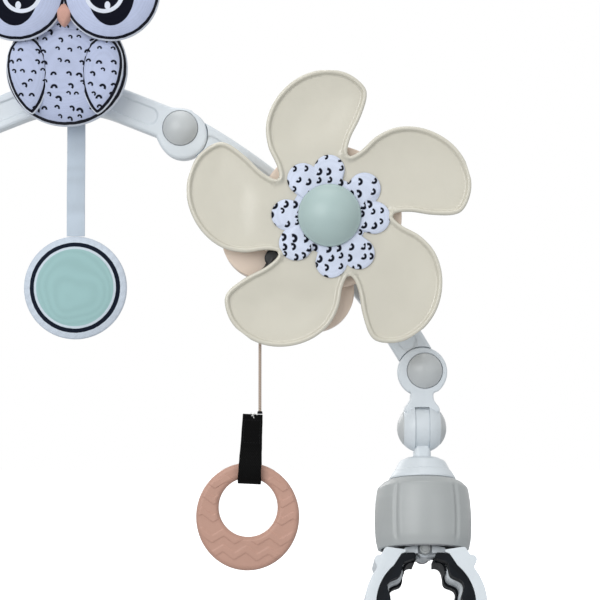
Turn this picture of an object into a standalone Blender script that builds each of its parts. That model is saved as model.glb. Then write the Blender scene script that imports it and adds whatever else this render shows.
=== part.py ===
"""Stroller arch toy: a jointed arch on two screw clamps, with a spinning flower, a pull ring,
a stuffed bird and a hanging disc.

Metres, +Z up, the viewer on the -Y side. The origin lies midway between the two clamps' grips.
"""

import math

import bmesh
import bpy
from mathutils import Matrix, Vector

# Clearances shared by all pieces
GAP = 0.0003
OVERRUN = 0.002
WELD = 0.00001
CUT_STEPS = 16
LAP_STEPS = 24

# Arch layout: the swivel stands over the grip, then link, arm and bridge follow
SWIVEL_X = 0.1932
GRIP_DROP = 0.0981
CLAMP_PITCH = math.radians(11)
LINK_LENGTH = 0.0314
ELBOW_OUTSET = 0.0015
ARM_CHORD = 0.189
ARM_CHORD_ANGLE = math.radians(44.85)
ARM_BEND = math.radians(16.5)
BRIDGE_SLOPE = math.radians(21.5)
BRIDGE_BEND_RADIUS = 0.079
ARM_WIDTH = 0.0186
BRIDGE_WIDTH = 0.018
ARCH_DEPTH = 0.012
EDGE_ROUNDING = 0.0012

# Half-lap knuckles, each pivot a little off the centrelines' meeting point, where its cap is
EYE_RADIUS = 0.0136
KNUCKLE_RADIUS = 0.0133
KNUCKLE_BOSS = 0.0006
KNUCKLE_FLARE = 0.006
SHOULDER_OFFSET = (0.0014, -0.0036)
ELBOW_OFFSET = (-0.0013, -0.0007)

# Sunk panels in the front of the bridge and the arms
PANEL_WIDTH = 0.0098
PANEL_DEPTH = 0.0011
PANEL_MARGIN = 0.0185

# Pivot caps
CAP_RADIUS = 0.0096
CAP_DOME = 0.0046
CAP_POCKET = 0.001
PIN_RADIUS = 0.003
BACK_CAP_RADIUS = 0.0078
BACK_CAP_DOME = 0.0024
BACK_CAP_SEAT = 0.0018
SOCKET_FLOOR = 0.0012

# Swivel at the lower end of the link
CHEEK_RADIUS = 0.0126
CHEEK_SPREAD = 0.0204
CHEEK_ROUNDING = 0.0035
SLOT_WIDTH = 0.008
TONGUE_RADIUS = 0.0116
NECK_WIDTH = 0.0125
SWIVEL_CAP_RADIUS = 0.0096
SWIVEL_CAP_DOME = 0.0032
SWIVEL_PIN_RADIUS = 0.0025

# Clamp core, heights below the swivel axis
POST_RADIUS = 0.0049
POST_TOP = 0.0132
COLLAR_TOP = 0.0164
COLLAR_HEIGHT = 0.0108
COLLAR_TOP_RADIUS = 0.0131
COLLAR_STEP_RADIUS = 0.0156
COLLAR_FOOT_RADIUS = 0.0182
STEM_RADIUS = 0.0085
STEM_FOOT = 0.0585
LUG_WIDTH = 0.0086
LUG_DEPTH = 0.008

# Turning knob
KNOB_RADIUS = 0.0262
KNOB_HEIGHT = 0.0413
KNOB_WALL = 0.0022
KNOB_TOP_RADIUS = 0.0187
KNOB_SHOULDER_RADIUS = 0.0238
KNOB_RIM_RADIUS = 0.0249
KNOB_WEB = 0.0046
KNOB_FLUTES = 4
FLUTE_RADIUS = 0.0022
FLUTE_DEPTH = 0.0009
THRUST_RING_OUTER = 0.0216
THRUST_RING_INNER = 0.0186
THRUST_RING_HEIGHT = 0.0028
KNOB_TRAVEL = 0.0035
JAW_CLOSE = math.radians(8)

# Jaws and pads, measured from the grip's centre
JAW_DEPTH = 0.042
JAW_RADIUS = 0.0335
JAW_WALL = 0.0071
JAW_LOW_ANGLE = -50
JAW_HIGH_ANGLE = 18
JAW_ARM_START = 0.0105
LUG_REACH = 0.0286
JAW_PIN_RISE = 0.0298
JAW_PIN_RADIUS = 0.003
KNUCKLE_WALL = 0.0022
KNUCKLE_LENGTH = 0.0075
JAW_KNUCKLE_REACH = 0.0155
HOOK_DROP = 0.62
JAW_SPRING_LENGTH = 0.005
JAW_SPRING_WALL = 0.0013
PAD_THICKNESS = 0.0062
PAD_WAVE = 0.002
PAD_WAVE_PITCH = 36
PAD_TOP_ANGLE = 72
PAD_LOW_ANGLE = -47
PAD_WINDOW_DEPTH = 0.018
PAD_WINDOW_TOP = 58
PAD_WINDOW_LOW = -36

# Flower on the arm, measured from its hub
HUB_OUT = 0.0078
HUB_ALONG = -0.0008
CASING_BACK_PLATE = 0.003
CASING_DEPTH = 0.0144
CASING_WALL = 0.002
CASING_RADIUS = 0.036
CASING_OFFSET = (-0.002, -0.0018)
CORD_LOBE_RADIUS = 0.022
CORD_LOBE_OFFSET = (-0.0361, -0.0111)
LOW_LOBE_RADIUS = 0.0215
LOW_LOBE_OFFSET = (-0.0081, -0.0402)
CASING_WEB = 0.004
COLLAR_DISC_RADIUS = 0.039
COLLAR_DISC_THICKNESS = 0.0042
PETAL_REACH = 0.0788
PETAL_THICKNESS = 0.0022
PETAL_LIP = 0.0022
PETAL_LIP_WIDTH = 0.0027
PETAL_FLOAT = 0.002
PETAL_COUNT = 5
PETAL_START_ANGLE = 90
CLOTH_RADIUS = 0.0321
CLOTH_LOBES = 8
CLOTH_LOBE_RADIUS = 0.0091
CLOTH_THICKNESS = 0.0026
DOME_RADIUS = 0.0169
DOME_HEIGHT = 0.0095
AXLE_RADIUS = 0.003
AXLE_FLANGE_RADIUS = 0.007
AXLE_FLANGE = 0.0014
SCREW_SPREAD = 0.026
SCREW_RADIUS = 0.0015
SCREW_HEAD_RADIUS = 0.003
SCREW_HEAD = 0.0016

# Cord drive inside the left lobe
SPOOL_CORE_RADIUS = 0.008
SPOOL_FLANGE_RADIUS = 0.0135
SPOOL_FLANGE = 0.0012
SPOOL_LENGTH = 0.007
SPOOL_POST_RADIUS = 0.0025
RECOIL_OUTER_RADIUS = 0.011
RECOIL_LENGTH = 0.0024

# Cord guide, cord, strap and ring
GUIDE_OFFSET = (0.0058, -0.0113)
GUIDE_RADIUS = 0.0046
GUIDE_BOSS = 0.0046
SPOUT_RADIUS = 0.0024
CORD_OFFSET = (-0.0012, -0.0227)
CORD_RADIUS = 0.0008
CORD_LENGTH = 0.0716
CORD_POINTS = 16
STRAP_WIDTH = 0.0117
STRAP_PLY = 0.0022
STRAP_LENGTH = 0.0375
STRAP_TILT = math.radians(2.8)
STRAP_SHIFT = -0.0038
LOOP_RADIUS = 0.0072
LOOP_BORE = 0.0061
RING_WIDTH = 0.0552
RING_HEIGHT = 0.0574
RING_BORE = 0.0157
RING_DEPTH = 0.0064
RING_TOP_BAND = 0.008
RING_ROUNDING = 0.0028

# Soft bird, measured from the middle of the bridge
TIE_WIDTH = 0.02
TIE_THICKNESS = 0.0013
BODY_RADII = (0.031, 0.0135, 0.0305)
BODY_RISE = 0.0149
HEAD_RADII = (0.038, 0.0115, 0.0285)
HEAD_RISE = 0.0556
HEAD_TAPER = 0.12
BODY_TAPER = 0.1
EYE_LOBE_RADII = (0.0262, 0.0075, 0.0262)
EYE_LOBE_SPREAD = 0.0245
EYE_LOBE_RISE = 0.0537
WING_RADII = (0.0145, 0.0055, 0.0235)
WING_SPREAD = 0.018
WING_RISE = 0.0101
WING_LEAN = math.radians(14)
BEAK_RADII = (0.0045, 0.004, 0.0065)
BEAK_RISE = 0.0388

# Hanging disc
DISC_RADIUS = 0.0283
DISC_THICKNESS = 0.011
DISC_DROP = 0.1057
DISC_SHIFT = 0.003
RIBBON_WIDTH = 0.01
RIBBON_THICKNESS = 0.0012

# Worked-out places
HALF_DEPTH = ARCH_DEPTH / 2
ARCH_Y = GRIP_DROP * math.sin(CLAMP_PITCH)
SWIVEL_Z = GRIP_DROP * math.cos(CLAMP_PITCH)
ELBOW = (SWIVEL_X + ELBOW_OUTSET, SWIVEL_Z + LINK_LENGTH)
SHOULDER = (
    ELBOW[0] - ARM_CHORD * math.cos(ARM_CHORD_ANGLE),
    ELBOW[1] + ARM_CHORD * math.sin(ARM_CHORD_ANGLE),
)
SHOULDER_PIN = (SHOULDER[0] + SHOULDER_OFFSET[0], SHOULDER[1] + SHOULDER_OFFSET[1])
ELBOW_PIN = (ELBOW[0] + ELBOW_OFFSET[0], ELBOW[1] + ELBOW_OFFSET[1])
BEND_HALF = BRIDGE_BEND_RADIUS * math.sin(BRIDGE_SLOPE)
BEND_RISE = BRIDGE_BEND_RADIUS * (1 - math.cos(BRIDGE_SLOPE))
APEX_Z = SHOULDER[1] + (SHOULDER[0] - BEND_HALF) * math.tan(BRIDGE_SLOPE) + BEND_RISE

# Depths, measured from the middle plane of the arch, negative towards the viewer
CASING_REAR = -HALF_DEPTH - GAP
CASING_SEAM = CASING_REAR - CASING_BACK_PLATE
CASING_FRONT = CASING_SEAM - GAP - CASING_DEPTH
COLLAR_FRONT = CASING_FRONT - GAP - COLLAR_DISC_THICKNESS
PETAL_REAR = COLLAR_FRONT - PETAL_FLOAT
PETAL_FACE = PETAL_REAR - PETAL_THICKNESS
CLOTH_REAR = PETAL_FACE - GAP
CLOTH_FRONT = CLOTH_REAR - CLOTH_THICKNESS
DOME_REAR = CLOTH_FRONT - GAP
BODY_Y = -HALF_DEPTH - TIE_THICKNESS - GAP * 2 - BODY_RADII[1]
CORD_Y = CASING_FRONT - GAP - SPOUT_RADIUS


def clear_scene():
    for thing in list(bpy.data.objects):
        bpy.data.objects.remove(thing, do_unlink=True)


def collection(name):
    made = bpy.data.collections.new(name)
    bpy.context.scene.collection.children.link(made)
    return made


def material(name, colour, roughness, metallic=0.0):
    made = bpy.data.materials.new(name)
    made.use_nodes = True
    shader = made.node_tree.nodes["Principled BSDF"]
    shader.inputs["Base Color"].default_value = (*colour, 1.0)
    shader.inputs["Roughness"].default_value = roughness
    shader.inputs["Metallic"].default_value = metallic
    return made


clear_scene()
PARTS = collection("stroller_arch_toy")
CUTTERS = collection("cutters")

WHITE = material("white_plastic", (0.7, 0.74, 0.78), 0.35)
GREY = material("grey_plastic", (0.45, 0.47, 0.46), 0.4)
RUBBER = material("black_rubber", (0.006, 0.008, 0.01), 0.6)
STEEL = material("steel", (0.5, 0.5, 0.52), 0.3, 1.0)
CREAM = material("cream_plastic", (0.65, 0.62, 0.53), 0.3)
MINT = material("mint_plastic", (0.45, 0.56, 0.52), 0.35)
CASING = material("casing_plastic", (0.65, 0.56, 0.46), 0.45)
CLOTH = material("white_cloth", (0.58, 0.63, 0.8), 0.9)
MINT_CLOTH = material("mint_cloth", (0.33, 0.53, 0.53), 0.9)
WEBBING = material("black_webbing", (0.004, 0.004, 0.004), 0.9)
CORD = material("cord", (0.5, 0.42, 0.37), 0.85)
SILICONE = material("pink_silicone", (0.48, 0.27, 0.2), 0.5)


def empty(name, location, pitch=0.0, parent=None):
    made = bpy.data.objects.new(name, None)
    made.location = location
    made.rotation_euler.x = pitch
    made.parent = parent
    PARTS.objects.link(made)
    return made


ARCH = empty("arch_plane", (0, ARCH_Y, 0))


def as_part(made, finish, parent=ARCH):
    made.data.materials.clear()
    made.data.materials.append(finish)
    made.parent = parent
    PARTS.objects.link(made)
    return made


def as_cutter(made, parent=ARCH):
    made.parent = parent
    made.hide_render = True
    made.display_type = "WIRE"
    CUTTERS.objects.link(made)
    return made


def apply_boolean(target, other, operation):
    change = target.modifiers.new(operation.lower(), "BOOLEAN")
    change.operation = operation
    change.solver = "EXACT"
    change.object = other


def cut(target, *others):
    for other in others:
        apply_boolean(target, other, "DIFFERENCE")


def join(target, *others):
    for other in others:
        apply_boolean(target, other, "UNION")


def round_edges(target, width, segments=2, angle=40):
    bevel = target.modifiers.new("rounding", "BEVEL")
    bevel.width = width
    bevel.segments = segments
    bevel.limit_method = "ANGLE"
    bevel.angle_limit = math.radians(angle)


def mesh_object(name, shape, origin=(0, 0, 0)):
    """A new object whose mesh, given in the parent's frame, has its origin at a point."""
    mesh = bpy.data.meshes.new(name)
    bmesh.ops.transform(shape, matrix=Matrix.Translation(-Vector(origin)), verts=shape.verts)
    bmesh.ops.recalc_face_normals(shape, faces=shape.faces)
    shape.to_mesh(mesh)
    shape.free()
    mesh.shade_smooth()
    mesh.set_sharp_from_angle(angle=math.radians(35))
    made = bpy.data.objects.new(name, mesh)
    made.location = origin
    return made


def outline_shape(outlines, thickness):
    """Closed flat outlines, the later ones being holes, given a thickness about their plane."""
    curve = bpy.data.curves.new("outline", "CURVE")
    curve.dimensions = "2D"
    curve.fill_mode = "BOTH"
    curve.extrude = thickness / 2
    for outline in outlines:
        spline = curve.splines.new("POLY")
        spline.points.add(len(outline) - 1)
        for point, (across, up) in zip(spline.points, outline):
            point.co = (across, up, 0, 1)
        spline.use_cyclic_u = True
    guide = bpy.data.objects.new("outline", curve)
    CUTTERS.objects.link(guide)
    seen = guide.evaluated_get(bpy.context.evaluated_depsgraph_get())
    mesh = bpy.data.meshes.new_from_object(seen)
    bpy.data.objects.remove(guide)
    shape = bmesh.new()
    shape.from_mesh(mesh)
    bmesh.ops.remove_doubles(shape, verts=shape.verts, dist=WELD)
    bmesh.ops.dissolve_limit(
        shape, angle_limit=math.radians(1), verts=shape.verts, edges=shape.edges
    )
    return shape


def plate(name, outlines, front, back, origin=(0, 0)):
    """Outlines in the arch's plane, upright, between two depths. The origin is across and up."""
    shape = outline_shape(outlines, back - front)
    upright = Matrix.Translation((0, (front + back) / 2, 0)) @ Matrix.Rotation(
        math.radians(90), 4, "X"
    )
    bmesh.ops.transform(shape, matrix=upright, verts=shape.verts)
    return mesh_object(name, shape, (origin[0], 0, origin[1]))


def block(name, low, high):
    shape = bmesh.new()
    bmesh.ops.create_cube(shape, size=1.0)
    middle = [(a + b) / 2 for a, b in zip(low, high)]
    size = [b - a for a, b in zip(low, high)]
    fit = Matrix.Translation(middle) @ Matrix.Diagonal((*size, 1))
    bmesh.ops.transform(shape, matrix=fit, verts=shape.verts)
    return mesh_object(name, shape)


TURNS = {
    "front": (math.radians(90), 0, 0),
    "back": (math.radians(-90), 0, 0),
    "right": (0, math.radians(90), 0),
    "left": (0, math.radians(-90), 0),
    "up": (0, 0, 0),
}


def turned(name, profile, facing, place, steps=CUT_STEPS, ring=False):
    """A turned piece from (radius, height) pairs that run down its outer side. Height runs
    towards the side it faces. A ring's profile closes on itself instead of on the axis."""
    mesh = bpy.data.meshes.new(name)
    points = [(radius, 0, height) for radius, height in profile]
    edges = [(i, i + 1) for i in range(len(points) - 1)]
    if ring:
        edges.append((len(points) - 1, 0))
    mesh.from_pydata(points, edges, [])
    made = bpy.data.objects.new(name, mesh)
    made.location = place
    made.rotation_euler = TURNS[facing]
    screw = made.modifiers.new("turn", "SCREW")
    screw.steps = steps
    screw.render_steps = steps
    screw.use_merge_vertices = True
    screw.merge_threshold = WELD
    screw.use_smooth_shade = True
    return made


def rod(name, facing, place, radius, low, high, steps=CUT_STEPS):
    profile = [(0, high), (radius, high), (radius, low), (0, low)]
    return turned(name, profile, facing, place, steps)


def arc(centre, radius, start, end, count):
    """Points along an arc, angles in degrees anticlockwise from +X."""
    points = []
    for i in range(count):
        angle = math.radians(start + (end - start) * i / (count - 1))
        points.append(
            (centre[0] + radius * math.cos(angle), centre[1] + radius * math.sin(angle))
        )
    return points


def mirrored(outline, side):
    return [(side * x, z) for x, z in outline]


def smooth_max(a, b, blend):
    return max(a, b) + max(blend - abs(a - b), 0) ** 2 / (4 * blend)


def crown_profile(radius, height, seat, count):
    """A dome's outer side from its crown down to its seat."""
    sphere = (radius**2 + height**2) / (2 * height)
    reach = math.asin(radius / sphere)
    points = []
    for k in range(count):
        angle = reach * k / (count - 1)
        points.append((sphere * math.sin(angle), height - sphere * (1 - math.cos(angle))))
    if seat:
        points.append((radius, -seat))
    return points


def pinned_cap(radius, height, seat, pin_radius, pin_length):
    """A domed cap with its pin under it."""
    points = crown_profile(radius, height, seat, 4)
    return points + [(pin_radius, -seat), (pin_radius, -pin_length), (0, -pin_length)]


def socket_cap(radius, height, seat, bore_radius, floor):
    """A domed cap with a blind socket in its underside."""
    points = crown_profile(radius, height, seat, 3)
    return points + [(bore_radius, -seat), (bore_radius, height - floor), (0, height - floor)]


# Centrelines of the arch


def arm_point(share, side):
    """A point on the arm's centreline, 0 at the shoulder and 1 at the elbow, and its tangent."""
    radius = ARM_CHORD / (2 * math.sin(ARM_BEND))
    angle = ARM_BEND * (2 * share - 1)
    along = ARM_CHORD / 2 + radius * math.sin(angle)
    out = radius * (math.cos(angle) - math.cos(ARM_BEND))
    chord = (math.cos(ARM_CHORD_ANGLE), -math.sin(ARM_CHORD_ANGLE))
    normal = (math.sin(ARM_CHORD_ANGLE), math.cos(ARM_CHORD_ANGLE))
    x = SHOULDER[0] + chord[0] * along + normal[0] * out
    z = SHOULDER[1] + chord[1] * along + normal[1] * out
    heading = -ARM_CHORD_ANGLE - angle
    return (side * x, z), (side * math.cos(heading), math.sin(heading))


def bridge_point(across):
    """Height and slope of the bridge's centreline at a distance from its middle."""
    if abs(across) < BEND_HALF:
        drop = BRIDGE_BEND_RADIUS - math.sqrt(BRIDGE_BEND_RADIUS**2 - across**2)
        slope = -math.asin(across / BRIDGE_BEND_RADIUS)
    else:
        drop = BEND_RISE + (abs(across) - BEND_HALF) * math.tan(BRIDGE_SLOPE)
        slope = -math.copysign(BRIDGE_SLOPE, across)
    return APEX_Z - drop, slope


ARM_LENGTH = 2 * ARM_BEND * ARM_CHORD / (2 * math.sin(ARM_BEND))
ARM_MIDDLE, ARM_TANGENT = arm_point(0.5, 1)
HUB = (
    ARM_MIDDLE[0] + ARM_TANGENT[0] * HUB_ALONG - ARM_TANGENT[1] * HUB_OUT,
    ARM_MIDDLE[1] + ARM_TANGENT[1] * HUB_ALONG + ARM_TANGENT[0] * HUB_OUT,
)


def off_hub(offset):
    return (HUB[0] + offset[0], HUB[1] + offset[1])


CORD_LOBE = off_hub(CORD_LOBE_OFFSET)
CORD_EXIT = (CORD_LOBE[0] + CORD_OFFSET[0], CORD_LOBE[1] + CORD_OFFSET[1])
GUIDE = (CORD_LOBE[0] + GUIDE_OFFSET[0], CORD_LOBE[1] + GUIDE_OFFSET[1])
CORD_TOP = CORD_EXIT[1] - GAP
CORD_END = CORD_TOP - CORD_LENGTH
STRAP_TOP = CORD_END - GAP
RING_BAND = STRAP_TOP - STRAP_LENGTH + LOOP_RADIUS


def arm_outline(side):
    """The arm's band from the shoulder's pin to the elbow's, whose ends its discs cover."""
    outer, inner = [], []
    half = ARM_WIDTH / 2
    count = 14
    for k in range(count + 1):
        (x, z), (along_x, along_z) = arm_point(k / count, side)
        outer.append((x - side * along_z * half, z + side * along_x * half))
        inner.append((x + side * along_z * half, z - side * along_x * half))
    return outer + inner[::-1]


def bridge_outline():
    """The bridge's outline, bent in its middle, flaring into round eyes about its pins."""
    top, bottom = [], []
    cosine, sine = math.cos(BRIDGE_SLOPE), math.sin(BRIDGE_SLOPE)
    on = SHOULDER_OFFSET[0] * cosine - SHOULDER_OFFSET[1] * sine
    off = SHOULDER_OFFSET[0] * sine + SHOULDER_OFFSET[1] * cosine
    half = BRIDGE_WIDTH / 2
    ends = [on - EYE_RADIUS * math.cos(math.radians(15) * k) for k in range(6)]
    ends += [on + EYE_RADIUS * math.sin(math.radians(15) * k) for k in range(7)]
    reaches = [SHOULDER[0] + end * cosine for end in ends]
    middle = [reaches[0] * k / 4 for k in range(-3, 4)]
    for across in [-reach for reach in reaches[::-1]] + middle + reaches:
        past = (abs(across) - SHOULDER[0]) / cosine - on
        inside = math.sqrt(max(EYE_RADIUS**2 - past**2, 0))
        above, below = off + inside, inside - off
        if past < 0:
            above = smooth_max(above, half, KNUCKLE_FLARE) if inside else half
            below = smooth_max(below, half, KNUCKLE_FLARE) if inside else half
        height, slope = bridge_point(across)
        top.append((across - math.sin(slope) * above, height + math.cos(slope) * above))
        if above + below > GAP:
            bottom.append(
                (across + math.sin(slope) * below, height - math.cos(slope) * below)
            )
    return top + bottom[::-1]


def panel_outline(points, half_width):
    """A sunk panel along a centreline, given as points with their tangents, round ended."""
    left, right = [], []
    for (x, z), (along_x, along_z) in points:
        left.append((x - along_z * half_width, z + along_x * half_width))
        right.append((x + along_z * half_width, z - along_x * half_width))
    (x0, z0), tangent0 = points[0]
    (x1, z1), tangent1 = points[-1]
    first = math.degrees(math.atan2(tangent0[1], tangent0[0]))
    last = math.degrees(math.atan2(tangent1[1], tangent1[0]))
    start = arc((x0, z0), half_width, first + 270, first + 90, 7)[1:-1]
    end = arc((x1, z1), half_width, last + 90, last - 90, 7)[1:-1]
    return left + end + right[::-1] + start


def pivot_pair(name, place, pin):
    """The domed front cap, whose pin sits off its middle, and the back cap on the pin's end."""
    face = -HALF_DEPTH + CAP_POCKET - GAP
    back = HALF_DEPTH + KNUCKLE_BOSS + GAP + BACK_CAP_SEAT
    pin_end = back + BACK_CAP_DOME - SOCKET_FLOOR - GAP
    profile = crown_profile(CAP_RADIUS, CAP_DOME, CAP_POCKET, 4) + [(0, -CAP_POCKET)]
    cap = turned(f"{name}_cap", profile, "front", (place[0], face - CAP_POCKET, place[1]), 20)
    as_part(cap, GREY)
    join(cap, bore(f"{name}_pin", pin, PIN_RADIUS, face - CAP_POCKET, pin_end))
    hole = PIN_RADIUS + GAP
    profile = socket_cap(BACK_CAP_RADIUS, BACK_CAP_DOME, BACK_CAP_SEAT, hole, SOCKET_FLOOR)
    as_part(turned(f"{name}_back_cap", profile, "back", (pin[0], back, pin[1]), 12), GREY)


def bore(name, place, radius, low=-HALF_DEPTH, high=HALF_DEPTH, steps=CUT_STEPS):
    """A cutter along the depth, for a pin's hole or a round pocket."""
    middle = (place[0], (low + high) / 2, place[1])
    half = (high - low) / 2
    return as_cutter(rod(name, "back", middle, radius, -half, half, steps))


def cut_eye(target, name, place, pin):
    """The round pocket for the front cap, the pin's hole, and the lap behind."""
    far = HALF_DEPTH + OVERRUN
    cut(
        target,
        bore(f"{name}_lap", pin, EYE_RADIUS + GAP * 2, -GAP / 2, far, LAP_STEPS),
        bore(f"{name}_pocket", place, CAP_RADIUS + GAP, -far, -HALF_DEPTH + CAP_POCKET),
        bore(f"{name}_hole", pin, PIN_RADIUS + GAP, -HALF_DEPTH, GAP),
    )


def make_bridge():
    bridge = plate("bridge", [bridge_outline()], -HALF_DEPTH, HALF_DEPTH, SHOULDER_PIN)
    as_part(bridge, WHITE)
    round_edges(bridge, EDGE_ROUNDING, 1)
    reach = SHOULDER[0] - PANEL_MARGIN * math.cos(BRIDGE_SLOPE)
    points = []
    for k in range(-4, 5):
        height, slope = bridge_point(reach * k / 4)
        points.append(((reach * k / 4, height), (math.cos(slope), math.sin(slope))))
    outline = panel_outline(points, PANEL_WIDTH / 2)
    front = -HALF_DEPTH - OVERRUN
    cut(bridge, as_cutter(plate("bridge_panel", [outline], front, -HALF_DEPTH + PANEL_DEPTH)))
    cut_eye(bridge, "right_shoulder", SHOULDER, SHOULDER_PIN)
    places = [(-x, z) for x, z in (SHOULDER, SHOULDER_PIN)]
    cut_eye(bridge, "left_shoulder", *places)


def make_arm(name, side):
    """A curved arm with a back-lap knuckle at each end and a sunk panel in its front."""
    shoulder = (side * SHOULDER_PIN[0], SHOULDER_PIN[1])
    elbow = (side * ELBOW_PIN[0], ELBOW_PIN[1])
    origin = elbow if side > 0 else shoulder
    arm = plate(f"{name}_arm", [arm_outline(side)], -HALF_DEPTH, HALF_DEPTH, origin)
    as_part(arm, WHITE)
    round_edges(arm, EDGE_ROUNDING, 1)
    start = PANEL_MARGIN / ARM_LENGTH
    points = [arm_point(start + (1 - 2 * start) * k / 10, side) for k in range(11)]
    front = -HALF_DEPTH - OVERRUN
    outline = panel_outline(points, PANEL_WIDTH / 2)
    cut(arm, as_cutter(plate(f"{name}_panel", [outline], front, -HALF_DEPTH + PANEL_DEPTH)))
    high = HALF_DEPTH + KNUCKLE_BOSS
    for pin, label in ((shoulder, "shoulder"), (elbow, "elbow")):
        join(arm, bore(f"{name}_{label}_boss", pin, KNUCKLE_RADIUS, GAP, high, LAP_STEPS))
        cut(
            arm,
            bore(f"{name}_{label}_lap", pin, EYE_RADIUS + GAP, front, GAP / 2, LAP_STEPS),
            bore(f"{name}_{label}_bore", pin, PIN_RADIUS + GAP, -GAP, high + OVERRUN),
        )
    return arm


def link_outline(side):
    """The link from its eye on the elbow down its neck to the fork over the swivel."""
    shares = (0.62, 0.66, 0.74, 0.86, 1.0)
    top = arc(ELBOW_PIN, EYE_RADIUS, 232, -52, 21)
    neck = NECK_WIDTH / 2
    drop = ELBOW[1] - SWIVEL_Z
    spread = CHEEK_SPREAD / 2
    low = SWIVEL_Z + CHEEK_RADIUS * 0.5
    right = [(SWIVEL_X + neck, SWIVEL_Z + drop * shares[0])]
    right.append((SWIVEL_X + neck, SWIVEL_Z + drop * shares[0] * shares[3]))
    right.append((SWIVEL_X + spread * shares[2], SWIVEL_Z + CHEEK_RADIUS))
    right.append((SWIVEL_X + spread - EDGE_ROUNDING / 2, low))
    left = [(2 * SWIVEL_X - x, z) for x, z in right[::-1]]
    outline = top + right + left
    return mirrored(outline, side)


def make_link(name, side):
    """The knuckle link: a front-lap eye at the elbow and a fork round the swivel's tongue."""
    elbow = (side * ELBOW[0], ELBOW[1])
    pin = (side * ELBOW_PIN[0], ELBOW_PIN[1])
    swivel = (side * SWIVEL_X, 0, SWIVEL_Z)
    origin = (swivel[0], swivel[2]) if side > 0 else pin
    link = plate(f"{name}_link", [link_outline(side)], -HALF_DEPTH, HALF_DEPTH, origin)
    as_part(link, WHITE)
    round_edges(link, EDGE_ROUNDING, 1)
    half = CHEEK_SPREAD / 2
    drum = as_cutter(rod(f"{name}_cheeks", "right", swivel, CHEEK_RADIUS, -half, half, 18))
    round_edges(drum, CHEEK_ROUNDING, 1)
    join(link, drum)
    slot = SLOT_WIDTH / 2
    roof = SWIVEL_Z + TONGUE_RADIUS + GAP
    wide = CHEEK_RADIUS + OVERRUN
    low = (swivel[0] - slot, -wide, SWIVEL_Z - wide)
    high = (swivel[0] + slot, wide, roof)
    hole = SWIVEL_PIN_RADIUS + GAP
    reach = half + OVERRUN
    cut(
        link,
        as_cutter(block(f"{name}_slot", low, high)),
        as_cutter(rod(f"{name}_fork_bore", "right", swivel, hole, -reach, reach)),
    )
    cut_eye(link, f"{name}_elbow", elbow, pin)


def make_swivel_caps(name, side):
    """The outer cap carries the swivel's pin, the inner one its socket."""
    face = CHEEK_SPREAD / 2 + GAP
    place = (side * SWIVEL_X, 0, SWIVEL_Z)
    pin = 2 * face - GAP
    outward, inward = ("right", "left") if side > 0 else ("left", "right")
    profile = pinned_cap(SWIVEL_CAP_RADIUS, SWIVEL_CAP_DOME, 0, SWIVEL_PIN_RADIUS, pin)
    outer = (place[0] + side * face, 0, place[2])
    as_part(turned(f"{name}_swivel_cap", profile, outward, outer), GREY)
    inner = (place[0] - side * face, 0, place[2])
    hole = SWIVEL_PIN_RADIUS + GAP
    floor = SWIVEL_CAP_DOME / 2
    profile = socket_cap(SWIVEL_CAP_RADIUS, SWIVEL_CAP_DOME, 0, hole, floor)
    as_part(turned(f"{name}_swivel_inner_cap", profile, inward, inner), GREY)


# The clamps, each in a frame with its origin on the swivel's axis

KNOB_TOP = -COLLAR_TOP - COLLAR_HEIGHT - GAP
KNOB_RIM = KNOB_TOP - KNOB_HEIGHT
PIN_Z = -GRIP_DROP + JAW_PIN_RISE
PAD_RADIUS = JAW_RADIUS - JAW_WALL - GAP


def make_core(name, frame):
    """Tongue, post, stepped collar, threaded stem and the lug that holds the jaw pin."""
    foot = -COLLAR_TOP - COLLAR_HEIGHT
    step = -COLLAR_TOP - COLLAR_HEIGHT * 0.3
    profile = [
        (0, -POST_TOP),
        (POST_RADIUS, -POST_TOP),
        (POST_RADIUS, -COLLAR_TOP),
        (COLLAR_TOP_RADIUS - OVERRUN, -COLLAR_TOP),
        (COLLAR_TOP_RADIUS, step),
        (COLLAR_STEP_RADIUS, (step + foot) / 2),
        (COLLAR_FOOT_RADIUS, foot + EDGE_ROUNDING),
        (COLLAR_FOOT_RADIUS, foot),
        (STEM_RADIUS, foot),
        (STEM_RADIUS, -STEM_FOOT),
        (0, -STEM_FOOT),
    ]
    core = as_part(turned(f"{name}_clamp_core", profile, "up", (0, 0, 0), 18), WHITE, frame)
    half = SLOT_WIDTH / 2 - GAP
    tongue = rod(f"{name}_tongue", "right", (0, 0, 0), TONGUE_RADIUS, -half, half, 20)
    low = (-half, -POST_RADIUS, -POST_TOP - OVERRUN)
    neck = block(f"{name}_tongue_neck", low, (half, POST_RADIUS, 0))
    low = (-LUG_WIDTH / 2, -LUG_DEPTH / 2, PIN_Z - LUG_WIDTH / 2)
    high = (LUG_WIDTH / 2, LUG_DEPTH / 2, -STEM_FOOT + OVERRUN)
    lug = block(f"{name}_lug", low, high)
    join(core, as_cutter(tongue, frame), as_cutter(neck, frame), as_cutter(lug, frame))
    reach = half + OVERRUN
    swivel = rod(f"{name}_tongue_bore", "right", (0, 0, 0), SWIVEL_PIN_RADIUS + GAP, -reach, reach)
    deep = LUG_DEPTH / 2 + OVERRUN
    pin = rod(f"{name}_lug_bore", "back", (0, 0, PIN_Z), JAW_PIN_RADIUS + GAP, -deep, deep)
    cut(core, as_cutter(swivel, frame), as_cutter(pin, frame))


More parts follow.
